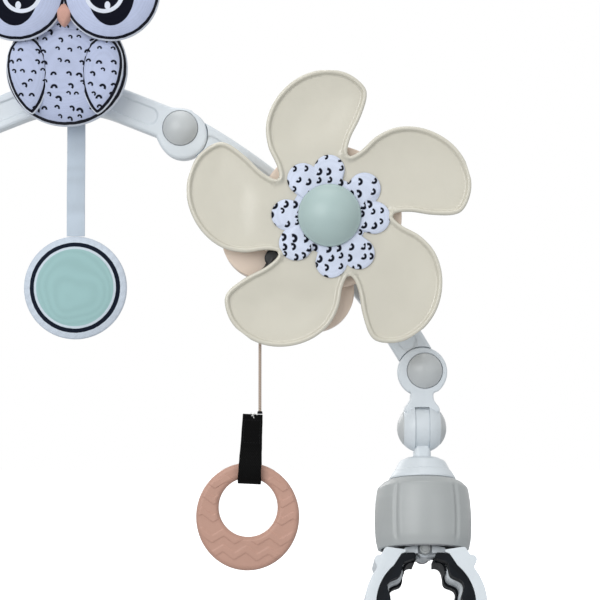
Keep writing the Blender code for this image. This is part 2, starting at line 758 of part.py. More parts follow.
def make_knob(name, frame):
    """A hollow knob with broad grips between its flutes."""
    body_shares = ((0.1, 0.93), (0.32, 0.985), (0.62, 1.0), (0.85, 0.985))
    outer = [(KNOB_TOP_RADIUS, KNOB_TOP), (KNOB_SHOULDER_RADIUS, KNOB_TOP - KNOB_WALL)]
    for down, wide in body_shares:
        outer.append((KNOB_RADIUS * wide, KNOB_TOP - KNOB_HEIGHT * down))
    outer.append((KNOB_RIM_RADIUS, KNOB_RIM))
    inner = [
        (KNOB_RIM_RADIUS - KNOB_WALL, KNOB_RIM),
        (KNOB_RIM_RADIUS - KNOB_WALL, KNOB_TOP - KNOB_HEIGHT / 3),
        (KNOB_TOP_RADIUS, KNOB_TOP - KNOB_WEB),
        (STEM_RADIUS + GAP, KNOB_TOP - KNOB_WEB),
        (STEM_RADIUS + GAP, KNOB_TOP),
    ]
    knob = turned(f"{name}_knob", outer + inner, "up", (0, 0, 0), 18, ring=True)
    as_part(knob, GREY, frame)
    for k in range(KNOB_FLUTES):
        angle = math.radians(360 / KNOB_FLUTES * (k + 1 / 2))
        reach = KNOB_RADIUS + FLUTE_RADIUS - FLUTE_DEPTH
        place = (reach * math.cos(angle), reach * math.sin(angle), 0)
        low, high = KNOB_RIM - OVERRUN, KNOB_TOP + OVERRUN
        flute = rod(f"{name}_flute_{k + 1}", "up", place, FLUTE_RADIUS, low, high, 8)
        cut(knob, as_cutter(flute, frame))


def make_thrust_ring(name, frame):
    low = KNOB_RIM
    high = KNOB_RIM + THRUST_RING_HEIGHT
    profile = [
        (THRUST_RING_INNER, high),
        (THRUST_RING_OUTER, high),
        (THRUST_RING_OUTER, low),
        (THRUST_RING_INNER, low),
    ]
    ring = turned(f"{name}_thrust_ring", profile, "up", (0, 0, 0), 20, ring=True)
    as_part(ring, STEEL, frame)


def jaw_outline():
    """The jaw seen from the front, for the side at +X: a shoulder lug over a curved claw."""
    lug_shares = ((0.86, 0.955), (0.96, 0.935), (1.0, 0.87), (0.975, 0.79), (0.93, 0.71))
    rim = GRIP_DROP + KNOB_RIM
    slope = math.tan(JAW_CLOSE)
    inner = JAW_RADIUS - JAW_WALL
    start = JAW_ARM_START
    top = [(start, rim - KNOB_TRAVEL - GAP + start * slope)]
    edge = THRUST_RING_OUTER
    top.append((edge, rim - KNOB_TRAVEL - GAP + edge * slope))
    for across, up in lug_shares:
        top.append((LUG_REACH * across, LUG_REACH * up))
    top.append((JAW_RADIUS * 0.885, JAW_RADIUS * 0.46))
    claw = arc((0, 0), JAW_RADIUS, JAW_HIGH_ANGLE, JAW_LOW_ANGLE, 9)
    tip = arc((0, 0), inner, JAW_LOW_ANGLE, math.degrees(math.acos(start / inner)), 13)
    return top + claw + tip


def pad_outline():
    """The pad seen from the front, for the side at +X, with a waved gripping side."""
    outer = arc((0, 0), PAD_RADIUS, PAD_LOW_ANGLE, PAD_TOP_ANGLE, 12)
    inner = []
    count = 20
    for k in range(count + 1):
        angle = PAD_TOP_ANGLE + (PAD_LOW_ANGLE - PAD_TOP_ANGLE) * k / count
        wave = math.cos(math.radians(angle * 360 / PAD_WAVE_PITCH))
        radius = PAD_RADIUS - PAD_THICKNESS - PAD_WAVE * wave
        direction = math.radians(angle)
        inner.append((radius * math.cos(direction), radius * math.sin(direction)))
    return outer + inner


def lowered(outline, side):
    return [(side * x, z - GRIP_DROP) for x, z in outline]


def make_jaw(name, frame, side):
    """One jaw with its knuckle on the pin. The outer jaw's knuckle is in front of the lug."""
    label = f"{name}_{'outer' if side > 0 else 'inner'}"
    facing = side if name == "right" else -side
    half = JAW_DEPTH / 2
    jaw = plate(f"{label}_jaw", [lowered(jaw_outline(), facing)], -half, half, (0, PIN_Z))
    as_part(jaw, WHITE, frame)
    round_edges(jaw, EDGE_ROUNDING / 2, 1)
    radius = JAW_PIN_RADIUS + KNUCKLE_WALL
    near = LUG_DEPTH / 2 + GAP
    front, back = (-near - KNUCKLE_LENGTH, -near) if side > 0 else (near, near + KNUCKLE_LENGTH)
    rise = JAW_PIN_RISE
    edge = JAW_KNUCKLE_REACH
    inner = JAW_RADIUS - JAW_WALL
    reach_angle = math.degrees(math.acos(edge / inner))
    hook = arc((0, rise), radius, 75, 320, 10)
    hook += arc((0, 0), inner, PAD_TOP_ANGLE + 2, reach_angle, 4)
    hook += [(edge, rise - radius * HOOK_DROP)]
    knuckle = plate(f"{label}_knuckle", [lowered(hook, facing)], front, back, (0, PIN_Z))
    join(jaw, as_cutter(knuckle, frame))
    deep = half + OVERRUN
    pin = rod(f"{label}_pin_bore", "back", (0, 0, PIN_Z), JAW_PIN_RADIUS + GAP, -deep, deep)
    cut(jaw, as_cutter(pin, frame))
    pad = plate(f"{label}_pad", [lowered(pad_outline(), facing)], -half, half, (0, PIN_Z))
    as_part(pad, RUBBER, frame)
    reach = PAD_RADIUS + OVERRUN
    window = arc((0, 0), reach, PAD_WINDOW_LOW, PAD_WINDOW_TOP, 9) + [(0, 0)]
    deep = PAD_WINDOW_DEPTH / 2
    cut(pad, as_cutter(plate(f"{label}_window", [lowered(window, facing)], -deep, deep), frame))


def make_jaw_pin(name, frame):
    half = THRUST_RING_INNER - JAW_PIN_RADIUS / 4
    pin = rod(f"{name}_jaw_pin", "back", (0, 0, PIN_Z), JAW_PIN_RADIUS, -half, half, 14)
    as_part(pin, GREY, frame)
    start = LUG_DEPTH / 2 + KNUCKLE_LENGTH + GAP * 2
    bore_radius = JAW_PIN_RADIUS + GAP
    outer = bore_radius + JAW_SPRING_WALL
    length = JAW_SPRING_LENGTH
    profile = [(bore_radius, length), (outer, length), (outer, 0), (bore_radius, 0)]
    place = (0, start, PIN_Z)
    spring = turned(f"{name}_jaw_spring", profile, "back", place, 14, ring=True)
    as_part(spring, STEEL, frame)


def make_clamp(name, side):
    frame = empty(f"{name}_clamp", (side * SWIVEL_X, ARCH_Y, SWIVEL_Z), -CLAMP_PITCH)
    make_core(name, frame)
    make_knob(name, frame)
    make_thrust_ring(name, frame)
    for jaw_side in (1, -1):
        make_jaw(name, frame, jaw_side)
    make_jaw_pin(name, frame)


# The flower and what carries it


def casing_outline(inset):
    """The casing's outline, a large round with two lobes, drawn in by an inset."""
    rounds = (
        (off_hub(CASING_OFFSET), CASING_RADIUS),
        (CORD_LOBE, CORD_LOBE_RADIUS),
        (off_hub(LOW_LOBE_OFFSET), LOW_LOBE_RADIUS),
    )
    middle = [sum(centre[k] for centre, _ in rounds) / len(rounds) for k in (0, 1)]
    points = []
    count = 40
    for k in range(count):
        angle = math.radians(360) * k / count
        across, up = math.cos(angle), math.sin(angle)
        reach = 0.0
        for centre, radius in rounds:
            off_x, off_z = centre[0] - middle[0], centre[1] - middle[1]
            along = off_x * across + off_z * up
            inside = (radius - inset) ** 2 - off_x**2 - off_z**2 + along**2
            if inside > 0:
                reach = smooth_max(reach, along + math.sqrt(inside), CASING_WEB)
        points.append((middle[0] + across * reach, middle[1] + up * reach))
    return points


def casing_screw_places():
    places = []
    for way in (-1, 1):
        share = 0.5 + way * SCREW_SPREAD / ARM_LENGTH
        places.append(arm_point(share, 1)[0])
    return places


def make_casing(arm):
    """Front shell, back plate with its spool post, collar, and the screws through the arm."""
    outline = casing_outline(0)
    shell = plate("casing_front", [outline], CASING_FRONT, CASING_SEAM - GAP, ELBOW_PIN)
    as_part(shell, CASING)
    round_edges(shell, EDGE_ROUNDING, 1)
    floor = CASING_FRONT + CASING_WALL
    hollow = plate("casing_hollow", [casing_outline(CASING_WALL)], floor, CASING_SEAM + OVERRUN)
    hole = AXLE_RADIUS + GAP
    front = CASING_FRONT - OVERRUN
    cut(shell, as_cutter(hollow), bore("casing_hub_hole", HUB, hole, front, floor + OVERRUN))
    cut(shell, bore("casing_cord_hole", GUIDE, SPOUT_RADIUS, front, floor + OVERRUN))

    lid = plate("casing_back", [outline], CASING_SEAM, CASING_REAR, ELBOW_PIN)
    as_part(lid, CASING)
    round_edges(lid, EDGE_ROUNDING, 1)
    top = CASING_SEAM - GAP * 2 - RECOIL_LENGTH - SPOOL_LENGTH
    join(lid, bore("spool_post", CORD_LOBE, SPOOL_POST_RADIUS, top, CASING_SEAM + OVERRUN / 2))
    post = AXLE_RADIUS + GAP + CASING_WALL
    join(lid, bore("axle_post", HUB, post, floor + GAP, CASING_SEAM + OVERRUN / 2))
    bearing = CASING_SEAM + OVERRUN / 2
    cut(lid, bore("axle_bearing", HUB, hole, front, bearing))

    thick = COLLAR_DISC_THICKNESS
    round_off = EDGE_ROUNDING
    profile = [
        (hole, thick),
        (COLLAR_DISC_RADIUS - round_off, thick),
        (COLLAR_DISC_RADIUS, thick - round_off),
        (COLLAR_DISC_RADIUS, 0),
        (hole, 0),
    ]
    centre = (HUB[0], CASING_FRONT - GAP, HUB[1])
    collar = as_part(turned("spinner_collar", profile, "front", centre, 30, ring=True), CASING)
    notch = GUIDE_RADIUS + GAP
    cut(collar, bore("collar_notch", GUIDE, notch, COLLAR_FRONT - OVERRUN, CASING_FRONT))

    head_y = HALF_DEPTH + GAP
    length = head_y - CASING_SEAM - GAP * 2
    profile = [
        (0, SCREW_HEAD),
        (SCREW_HEAD_RADIUS, SCREW_HEAD * 0.6),
        (SCREW_HEAD_RADIUS, 0),
        (SCREW_RADIUS, 0),
        (SCREW_RADIUS, -length),
        (0, -length),
    ]
    for number, place in enumerate(casing_screw_places(), 1):
        at = (place[0], head_y, place[1])
        as_part(turned(f"casing_screw_{number}", profile, "back", at, 14), STEEL)
        hole = bore(
            f"screw_hole_{number}", place, SCREW_RADIUS + GAP, CASING_SEAM - OVERRUN, head_y
        )
        cut(arm, hole)
        cut(lid, hole)


def petal_outline(inset=0.0):
    """Five swept petals round the hub. One petal is a table of reach shares and angles."""
    petal_shares = (
        (0.432, -52.6),
        (0.5, -46),
        (0.63, -41.4),
        (0.755, -35),
        (0.855, -27),
        (0.93, -18.6),
        (0.98, -10.2),
        (1.0, -1.6),
        (0.984, 6.8),
        (0.925, 14.3),
        (0.85, 17.4),
        (0.7, 17.4),
        (0.56, 15.2),
        (0.46, 15.4),
    )
    turn = 360 / PETAL_COUNT
    edge = []
    for petal in range(PETAL_COUNT):
        for reach, lean in petal_shares:
            angle = math.radians(PETAL_START_ANGLE - lean - turn * petal)
            radius = PETAL_REACH * reach
            edge.append((radius * math.cos(angle), radius * math.sin(angle)))
    if inset:
        edge = drawn_in(edge, inset)
    return [(HUB[0] + x, HUB[1] + z) for x, z in edge]


def drawn_in(outline, inset):
    """A clockwise outline moved inwards by an inset."""
    moved = []
    for k, (x, z) in enumerate(outline):
        before, after = outline[k - 1], outline[(k + 1) % len(outline)]
        along = Vector((after[0] - before[0], after[1] - before[1])).normalized()
        moved.append((x + along.y * inset, z - along.x * inset))
    return moved


def cloth_outline():
    """A round fabric flower whose lobes are arcs on a circle."""
    ring = CLOTH_RADIUS - CLOTH_LOBE_RADIUS
    points = []
    count = 7
    for lobe in range(CLOTH_LOBES):
        for k in range(count - 1):
            off = math.radians(180 / CLOTH_LOBES) * (2 * k / (count - 1) - 1)
            reach = CLOTH_LOBE_RADIUS**2 - (ring * math.sin(off)) ** 2
            radius = ring * math.cos(off) + math.sqrt(max(reach, 0))
            angle = math.radians(90 + 360 * lobe / CLOTH_LOBES) + off
            points.append((HUB[0] + radius * math.cos(angle), HUB[1] + radius * math.sin(angle)))
    return points


def make_flower():
    hub = (HUB[0], 0, HUB[1])
    hole = AXLE_RADIUS + GAP
    petals = plate("petals", [petal_outline()], PETAL_FACE - PETAL_LIP, PETAL_REAR, HUB)
    as_part(petals, CREAM)
    round_edges(petals, PETAL_LIP / 3, 1)
    dish = plate(
        "petal_dish", [petal_outline(PETAL_LIP_WIDTH)], PETAL_FACE - PETAL_LIP - OVERRUN, PETAL_FACE
    )
    front = PETAL_FACE - PETAL_LIP - OVERRUN
    seat = bore("cloth_seat", HUB, CLOTH_RADIUS + GAP, front, PETAL_FACE)
    cut(petals, as_cutter(dish), seat)
    cut(petals, bore("petal_hole", HUB, hole, PETAL_FACE - OVERRUN, PETAL_REAR + OVERRUN))

    cloth = plate("fabric_flower", [cloth_outline()], CLOTH_FRONT, CLOTH_REAR, HUB)
    as_part(cloth, CLOTH)
    round_edges(cloth, CLOTH_THICKNESS / 3, 1)
    cut(cloth, bore("cloth_hole", HUB, hole, CLOTH_FRONT - OVERRUN, CLOTH_REAR + OVERRUN))

    socket = AXLE_RADIUS + GAP
    depth = DOME_HEIGHT / 2
    profile = crown_profile(DOME_RADIUS, DOME_HEIGHT, 0, 5)
    profile += [(socket, 0), (socket, depth), (0, depth)]
    place = (HUB[0], DOME_REAR, HUB[1])
    as_part(turned("hub_dome", profile, "front", place, 22), MINT)

    tip = -DOME_REAR + depth - GAP
    seat = -PETAL_REAR - GAP
    tail = -CASING_SEAM + GAP
    profile = [
        (0, tip),
        (AXLE_RADIUS, tip),
        (AXLE_RADIUS, seat),
        (AXLE_FLANGE_RADIUS, seat),
        (AXLE_FLANGE_RADIUS, seat - AXLE_FLANGE),
        (AXLE_RADIUS, seat - AXLE_FLANGE),
        (AXLE_RADIUS, tail),
        (0, tail),
    ]
    as_part(turned("spinner_axle", profile, "front", hub, 14), GREY)


def make_cord_drive():
    """The spool that winds the cord and the recoil spring behind it."""
    bore_radius = SPOOL_POST_RADIUS + GAP
    back = -CASING_SEAM + GAP * 2 + RECOIL_LENGTH
    top = back + SPOOL_LENGTH - GAP
    profile = [
        (bore_radius, top),
        (SPOOL_FLANGE_RADIUS, top),
        (SPOOL_FLANGE_RADIUS, top - SPOOL_FLANGE),
        (SPOOL_CORE_RADIUS, top - SPOOL_FLANGE),
        (SPOOL_CORE_RADIUS, back + SPOOL_FLANGE),
        (SPOOL_FLANGE_RADIUS, back + SPOOL_FLANGE),
        (SPOOL_FLANGE_RADIUS, back),
        (bore_radius, back),
    ]
    place = (CORD_LOBE[0], 0, CORD_LOBE[1])
    as_part(turned("cord_spool", profile, "front", place, 18, ring=True), WHITE)
    low, high = -CASING_SEAM + GAP, -CASING_SEAM + GAP + RECOIL_LENGTH
    profile = [
        (bore_radius, high),
        (RECOIL_OUTER_RADIUS, high),
        (RECOIL_OUTER_RADIUS, low),
        (bore_radius, low),
    ]
    as_part(turned("recoil_spring", profile, "front", place, 18, ring=True), STEEL)


def tube(name, points, radius, resolution=2):
    """A round tube through points, as a closed mesh."""
    curve = bpy.data.curves.new(name, "CURVE")
    curve.dimensions = "3D"
    curve.bevel_depth = radius
    curve.bevel_resolution = resolution
    curve.use_fill_caps = True
    spline = curve.splines.new("POLY")
    spline.points.add(len(points) - 1)
    for point, place in zip(spline.points, points):
        point.co = (*place, 1)
    guide = bpy.data.objects.new(name, curve)
    CUTTERS.objects.link(guide)
    seen = guide.evaluated_get(bpy.context.evaluated_depsgraph_get())
    mesh = bpy.data.meshes.new_from_object(seen)
    bpy.data.objects.remove(guide)
    shape = bmesh.new()
    shape.from_mesh(mesh)
    bmesh.ops.remove_doubles(shape, verts=shape.verts, dist=WELD)
    return shape


def make_cord():
    """The guide on the casing, the cord that hangs from it, the strap and the ring."""
    bend_shares = ((0.0, 0.0), (0.35, 0.45), (0.75, 0.75), (1.0, 0.93), (1.0, 1.0))
    route = []
    for across, down in bend_shares:
        x = GUIDE[0] + (CORD_EXIT[0] - GUIDE[0]) * across
        z = GUIDE[1] + (CORD_EXIT[1] - GUIDE[1]) * down
        route.append((x, CORD_Y, z))
    spout = mesh_object("guide_spout", tube("guide_spout", route, SPOUT_RADIUS, 3), (0, 0, 0))
    face = CASING_FRONT - GAP
    profile = [(0, GUIDE_BOSS), (GUIDE_RADIUS, GUIDE_BOSS), (GUIDE_RADIUS, 0), (0, 0)]
    place = (GUIDE[0], face, GUIDE[1])
    guide = as_part(turned("cord_guide", profile, "front", place, 20), RUBBER)
    join(guide, as_cutter(spout))

    points = []
    for k in range(CORD_POINTS):
        points.append((CORD_EXIT[0], CORD_Y, CORD_TOP - CORD_LENGTH * k / (CORD_POINTS - 1)))
    shape = tube("pull_cord", points, CORD_RADIUS)
    cord = mesh_object("pull_cord", shape, (CORD_EXIT[0], CORD_Y, CORD_EXIT[1]))
    as_part(cord, CORD)

    hang = (CORD_EXIT[0] + STRAP_SHIFT, CORD_Y, STRAP_TOP)
    frame = empty("strap_frame", hang, parent=ARCH)
    frame.rotation_euler.y = STRAP_TILT
    band = RING_BAND - STRAP_TOP
    half = STRAP_WIDTH / 2
    ply = STRAP_PLY / 2
    strap = block("pull_strap", (-half, -ply, band), (half, ply, 0))
    as_part(strap, WEBBING, frame)
    place = (0, 0, band)
    loop = rod("strap_loop", "right", place, LOOP_RADIUS, -half, half, 24)
    reach = half + OVERRUN
    hole = rod("strap_bore", "right", place, LOOP_BORE, -reach, reach, 24)
    join(strap, as_cutter(loop, frame))
    cut(strap, as_cutter(hole, frame))

    centre = band + RING_TOP_BAND / 2 - RING_HEIGHT / 2
    outer = []
    for x, z in arc((0, 0), 1, 0, 348, 30):
        outer.append((x * RING_WIDTH / 2, centre + z * RING_HEIGHT / 2))
    middle = band - RING_TOP_BAND / 2 - RING_BORE
    inner = arc((0, middle), RING_BORE, 0, 342, 20)
    deep = RING_DEPTH / 2
    ring = plate("pull_ring", [outer, inner], -deep, deep, (0, band))
    as_part(ring, SILICONE, frame)
    round_edges(ring, RING_ROUNDING, 2)


# The soft bird and the hanging disc


def swollen(name, place, radii, taper=0.0, lean=0.0, grow=0.0, segments=18, rings=10):
    """A stuffed form: a ball drawn out to its radii, narrower towards the top by its taper."""
    shape = bmesh.new()
    bmesh.ops.create_uvsphere(shape, u_segments=segments, v_segments=rings, radius=1.0)
    for vertex in shape.verts:
        narrow = 1 - taper * vertex.co.z
        vertex.co.x *= (radii[0] + grow) * narrow
        vertex.co.y *= (radii[1] + grow) * narrow
        vertex.co.z *= radii[2] + grow
    turn = Matrix.Translation(place) @ Matrix.Rotation(lean, 4, "Y")
    bmesh.ops.transform(shape, matrix=turn, verts=shape.verts)
    return mesh_object(name, shape, place)


def make_bird():
    """Body, head, eye lobes, wings and beak, each cut by the larger ones, and the tie."""
    body_place = (0, BODY_Y, APEX_Z + BODY_RISE)
    head_place = (0, BODY_Y - BODY_RADII[1] / 3, APEX_Z + HEAD_RISE)
    lobe_y = head_place[1] - HEAD_RADII[1]
    forms = [
        ("bird_body", body_place, BODY_RADII, BODY_TAPER, 0, 16, 10),
        ("bird_head", head_place, HEAD_RADII, HEAD_TAPER, 0, 16, 10),
    ]
    for label, side in (("right", 1), ("left", -1)):
        place = (side * EYE_LOBE_SPREAD, lobe_y, APEX_Z + EYE_LOBE_RISE)
        forms.append((f"{label}_eye_lobe", place, EYE_LOBE_RADII, 0, 0, 18, 8))
    for label, side in (("right", 1), ("left", -1)):
        place = (side * WING_SPREAD, body_place[1] - BODY_RADII[1] * 0.8, APEX_Z + WING_RISE)
        forms.append((f"{label}_wing", place, WING_RADII, 0.15, -side * WING_LEAN, 14, 8))
    place = (0, lobe_y - EYE_LOBE_RADII[1] * 0.6, APEX_Z + BEAK_RISE)
    forms.append(("beak", place, BEAK_RADII, 0, 0, 10, 6))
    grown = []
    for name, place, radii, taper, lean, segments, rings in forms:
        size = (segments, rings)
        piece = swollen(name, place, radii, taper, lean, 0.0, *size)
        as_part(piece, GREY if name == "beak" else CLOTH)
        cut(piece, *grown)
        grown.append(
            as_cutter(swollen(f"{name}_room", place, radii, taper, lean, GAP * 2, *size))
        )
    half = BRIDGE_WIDTH / 2 + GAP
    deep = HALF_DEPTH + GAP
    wall = TIE_THICKNESS
    wide = TIE_WIDTH / 2
    sag = BRIDGE_BEND_RADIUS - math.sqrt(BRIDGE_BEND_RADIUS**2 - wide**2)
    low, high = APEX_Z - half - sag, APEX_Z + half
    tie = block("bird_tie", (-wide, -deep - wall, low - wall), (wide, deep + wall, high + wall))
    as_part(tie, CLOTH)
    room = block("tie_room", (-wide - OVERRUN, -deep, low), (wide + OVERRUN, deep, high))
    cut(tie, as_cutter(room))
    return low - wall


def make_disc(tie_bottom):
    """A stuffed disc on a ribbon under the bridge, with its origin where the ribbon bends."""
    disc_z = APEX_Z - DISC_DROP
    pivot = (DISC_SHIFT, 0, tie_bottom - GAP)
    half = RIBBON_WIDTH / 2
    thin = RIBBON_THICKNESS / 2
    low = disc_z + DISC_RADIUS * math.sqrt(1 - (half / DISC_RADIUS) ** 2)
    left, right = DISC_SHIFT - half, DISC_SHIFT + half
    ribbon = block("disc_ribbon", (left, -thin, low + GAP * 2), (right, thin, pivot[2]))
    as_part(ribbon, WEBBING)
    profile = []
    bulge = DISC_THICKNESS / 2
    for k in range(7):
        angle = math.radians(90 - 180 * k / 6)
        profile.append((DISC_RADIUS * math.cos(angle) ** 0.6, bulge * math.sin(angle)))
    profile[0] = (0, bulge)
    profile[-1] = (0, -bulge)
    as_part(turned("hanging_disc", profile, "front", (DISC_SHIFT, 0, disc_z), 24), MINT_CLOTH)


def main():
    make_bridge()
    right_arm = make_arm("right", 1)
    make_arm("left", -1)
    for name, side in (("right", 1), ("left", -1)):
        make_link(name, side)
        places = [(side * x, z) for x, z in (SHOULDER, SHOULDER_PIN, ELBOW, ELBOW_PIN)]
        pivot_pair(f"{name}_shoulder", *places[:2])
        pivot_pair(f"{name}_elbow", *places[2:])
        make_swivel_caps(name, side)
        make_clamp(name, side)
    make_casing(right_arm)
    make_flower()
    make_cord_drive()
    make_cord()
    make_disc(make_bird())


main()
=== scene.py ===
"""Looks of the stroller arch toy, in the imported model's frame. Metres, viewer on the -Y side."""

import contextlib
import math

import bmesh
import bpy
import numpy as np
from mathutils import Matrix, Vector, noise


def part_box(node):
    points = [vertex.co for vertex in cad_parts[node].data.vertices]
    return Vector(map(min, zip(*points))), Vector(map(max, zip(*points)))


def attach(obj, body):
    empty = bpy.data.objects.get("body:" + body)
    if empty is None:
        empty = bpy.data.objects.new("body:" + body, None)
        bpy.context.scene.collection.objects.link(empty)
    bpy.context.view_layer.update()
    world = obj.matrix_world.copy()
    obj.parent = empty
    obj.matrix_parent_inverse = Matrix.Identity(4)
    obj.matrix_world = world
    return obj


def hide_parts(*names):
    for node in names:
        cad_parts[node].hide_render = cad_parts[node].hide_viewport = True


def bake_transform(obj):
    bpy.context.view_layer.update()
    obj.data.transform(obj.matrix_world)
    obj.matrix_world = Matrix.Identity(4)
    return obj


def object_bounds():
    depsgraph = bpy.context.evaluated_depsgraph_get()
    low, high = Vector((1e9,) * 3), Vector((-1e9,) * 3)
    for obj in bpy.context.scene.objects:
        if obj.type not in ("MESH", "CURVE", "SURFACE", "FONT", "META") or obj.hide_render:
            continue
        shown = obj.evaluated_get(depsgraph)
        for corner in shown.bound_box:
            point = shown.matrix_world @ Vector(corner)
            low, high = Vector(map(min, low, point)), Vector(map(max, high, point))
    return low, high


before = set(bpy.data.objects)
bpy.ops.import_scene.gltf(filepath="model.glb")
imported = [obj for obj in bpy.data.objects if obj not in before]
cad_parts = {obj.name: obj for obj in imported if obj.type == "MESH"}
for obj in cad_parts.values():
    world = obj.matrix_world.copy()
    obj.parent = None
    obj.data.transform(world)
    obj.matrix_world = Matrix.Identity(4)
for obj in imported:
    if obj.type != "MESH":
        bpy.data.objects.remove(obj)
bpy.context.scene.view_settings.view_transform = "Standard"
cad_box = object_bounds()

SIDES = (("right", 1), ("left", -1))

# Places that repeat the CAD model's: (x, z) in the arch's plane, depths from its middle
ARCH_Y = 0.018718
SWIVEL = (0.1932, 0.096298)
ELBOW = (0.1947, 0.127698)
ELBOW_PIN = (0.1934, 0.126998)
SHOULDER = (0.060707, 0.260990)
SHOULDER_PIN = (0.062107, 0.257390)
PITCH = math.radians(11)
ARM_CHORD = 0.189
CHORD_ANGLE = math.radians(44.85)
ARM_BEND = math.radians(16.5)
SLOPE = math.radians(21.5)
BEND_RADIUS = 0.079
BEND_HALF = 0.028954
BEND_RISE = 0.005497
APEX_Z = 0.278996
HUB = (0.142301, 0.210152)
HALF = 0.006
ARM_HALF = 0.0093
BRIDGE_HALF = 0.009
EYE = 0.0136
GAP = 0.0003
OVERRUN = 0.002


def srgb(red, green, blue):
    """A colour written as it is seen, 0 to 255, as linear light."""
    values = []
    for value in (red, green, blue):
        share = value / 255
        values.append(share / 12.92 if share < 0.04045 else ((share + 0.055) / 1.055) ** 2.4)
    return (*values, 1.0)


# Camera, floor and light

PICTURE_CENTRE = Vector((0.1265, ARCH_Y, 0.16665))
PICTURE_WIDTH = 0.33
CAMERA_DISTANCE = 1.2
CAMERA_RISE = math.radians(-3)
SENSOR = 36
FLOOR_REACH = 4


def put_in_scene(name, data):
    made = bpy.data.objects.new(name, data)
    bpy.context.scene.collection.objects.link(made)
    return made


def aim(made, location, target):
    made.location = location
    made.rotation_euler = (Vector(target) - Vector(location)).to_track_quat("-Z", "Y").to_euler()


def make_camera():
    data = bpy.data.cameras.new("camera")
    made = put_in_scene("camera", data)
    away = Vector((0, -math.cos(CAMERA_RISE), math.sin(CAMERA_RISE)))
    aim(made, PICTURE_CENTRE + CAMERA_DISTANCE * away, PICTURE_CENTRE)
    data.sensor_width = SENSOR
    data.lens = SENSOR * CAMERA_DISTANCE / PICTURE_WIDTH
    data.clip_start = 0.05
    bpy.context.scene.camera = made


def area_light(name, location, size, power):
    data = bpy.data.lights.new(name, "AREA")
    data.shape = "RECTANGLE"
    data.size, data.size_y = size
    data.energy = power
    aim(put_in_scene(name, data), location, (0.1, 0, 0.17))


def make_world():
    """An even light all round, and white wherever the camera or a reflection looks past."""
    world = bpy.data.worlds.new("studio")
    bpy.context.scene.world = world
    world.use_nodes = True
    nodes, links = world.node_tree.nodes, world.node_tree.links
    light, white = nodes["Background"], nodes.new("ShaderNodeBackground")
    for shown, colour, strength in ((light, (0.97, 0.99, 1, 1), 0.56), (white, (1, 1, 1, 1), 1)):
        shown.inputs["Color"].default_value = colour
        shown.inputs["Strength"].default_value = strength
    path, mix = nodes.new("ShaderNodeLightPath"), nodes.new("ShaderNodeMixShader")
    past = path.outputs["Is Camera Ray"]
    for ray in ("Is Glossy Ray", "Is Transmission Ray"):
        either = nodes.new("ShaderNodeMath")
        either.operation = "MAXIMUM"
        links.new(past, either.inputs[0])
        links.new(path.outputs[ray], either.inputs[1])
        past = either.outputs[0]
    for socket, source in zip(mix.inputs, (past, light.outputs[0], white.outputs[0])):
        links.new(source, socket)
    links.new(mix.outputs[0], nodes["World Output"].inputs["Surface"])


def make_stage():
    """A pale floor that keeps the shadow and grows white away from the toy, and four lamps."""
    make_world()
    bottom = min(corner[2] for corner in cad_box) - 0.0005
    ends = (-FLOOR_REACH, FLOOR_REACH)
    floor = grid_piece("floor", [[(x, y, bottom) for x in ends] for y in ends], smooth=False)
    n = Paint("floor", srgb(205, 206, 208), 0.9, {"Specular IOR Level": 0.0})
    away = n.ramp(n.vector("DISTANCE", n.place, (0.1, 0, bottom)), 0.22, 0.6, 0.4, 1.0)
    seen = n.new("LightPath").outputs["Is Camera Ray"]
    glow = n.new("Emission", {"Strength": n.math("MULTIPLY", seen, away)}).outputs[0]
    both = n.new("AddShader", {0: n.base.outputs[0], 1: glow}).outputs[0]
    n.put(n.tree.nodes["Material Output"].inputs["Surface"], both)
    floor.data.materials.append(n.made)
    area_light("key", (-0.5, -1.15, 0.6), (0.9, 0.9), 8.5)
    area_light("fill", (0.8, -1.1, 0.3), (0.6, 0.9), 1.9)
    area_light("top", (0.0, -0.1, 1.3), (0.9, 0.6), 4)
    area_light("back", (-0.6, 1.2, 0.7), (0.8, 0.8), 4)


# Mesh helpers

@contextlib.contextmanager
def editing(mesh):
    shape = bmesh.new()
    shape.from_mesh(mesh)
    yield shape
    shape.to_mesh(mesh)
    shape.free()


def smoothed(made, sharp=35):
    made.data.shade_smooth()
    made.data.set_sharp_from_angle(angle=math.radians(sharp))


def tidy_normals(made, smooth=True, sharp=35):
    with editing(made.data) as shape:
        bmesh.ops.remove_doubles(shape, verts=shape.verts, dist=0.000001)
        bmesh.ops.recalc_face_normals(shape, faces=shape.faces)
    if smooth:
        smoothed(made, sharp)


def piece_of(name, points, faces, smooth=True, sharp=35):
    mesh = bpy.data.meshes.new(name)
    mesh.from_pydata([tuple(point) for point in points], [], faces)
    made = put_in_scene(name, mesh)
    tidy_normals(made, smooth, sharp)
    return made


def grid_faces(rows, columns, around=False, closed=False, first=0):
    faces = []
    for i in range(rows if closed else rows - 1):
        for j in range(columns if around else columns - 1):
            low, high = first + i * columns, first + ((i + 1) % rows) * columns
            after = (j + 1) % columns
            faces.append((low + j, low + after, high + after, high + j))
    return faces


def end_faces(rows, columns, first=0):
    last = first + (rows - 1) * columns
    return [tuple(range(first, first + columns)), tuple(range(last, last + columns))[::-1]]


def grid_piece(name, rows, around=False, closed=False, caps=False, smooth=True, sharp=35):
    """A surface through rows of points. Around closes each row, closed joins last to first."""
    count = len(rows[0])
    faces = grid_faces(len(rows), count, around, closed)
    if caps:
        faces += end_faces(len(rows), count)
    return piece_of(name, [point for row in rows for point in row], faces, smooth, sharp)


def arch(x, depth, z):
    return (x, ARCH_Y + depth, z)


def clamp_frame(side):
    place = Matrix.Translation((side * SWIVEL[0], ARCH_Y, SWIVEL[1]))
    return place @ Matrix.Rotation(-PITCH, 4, "X")


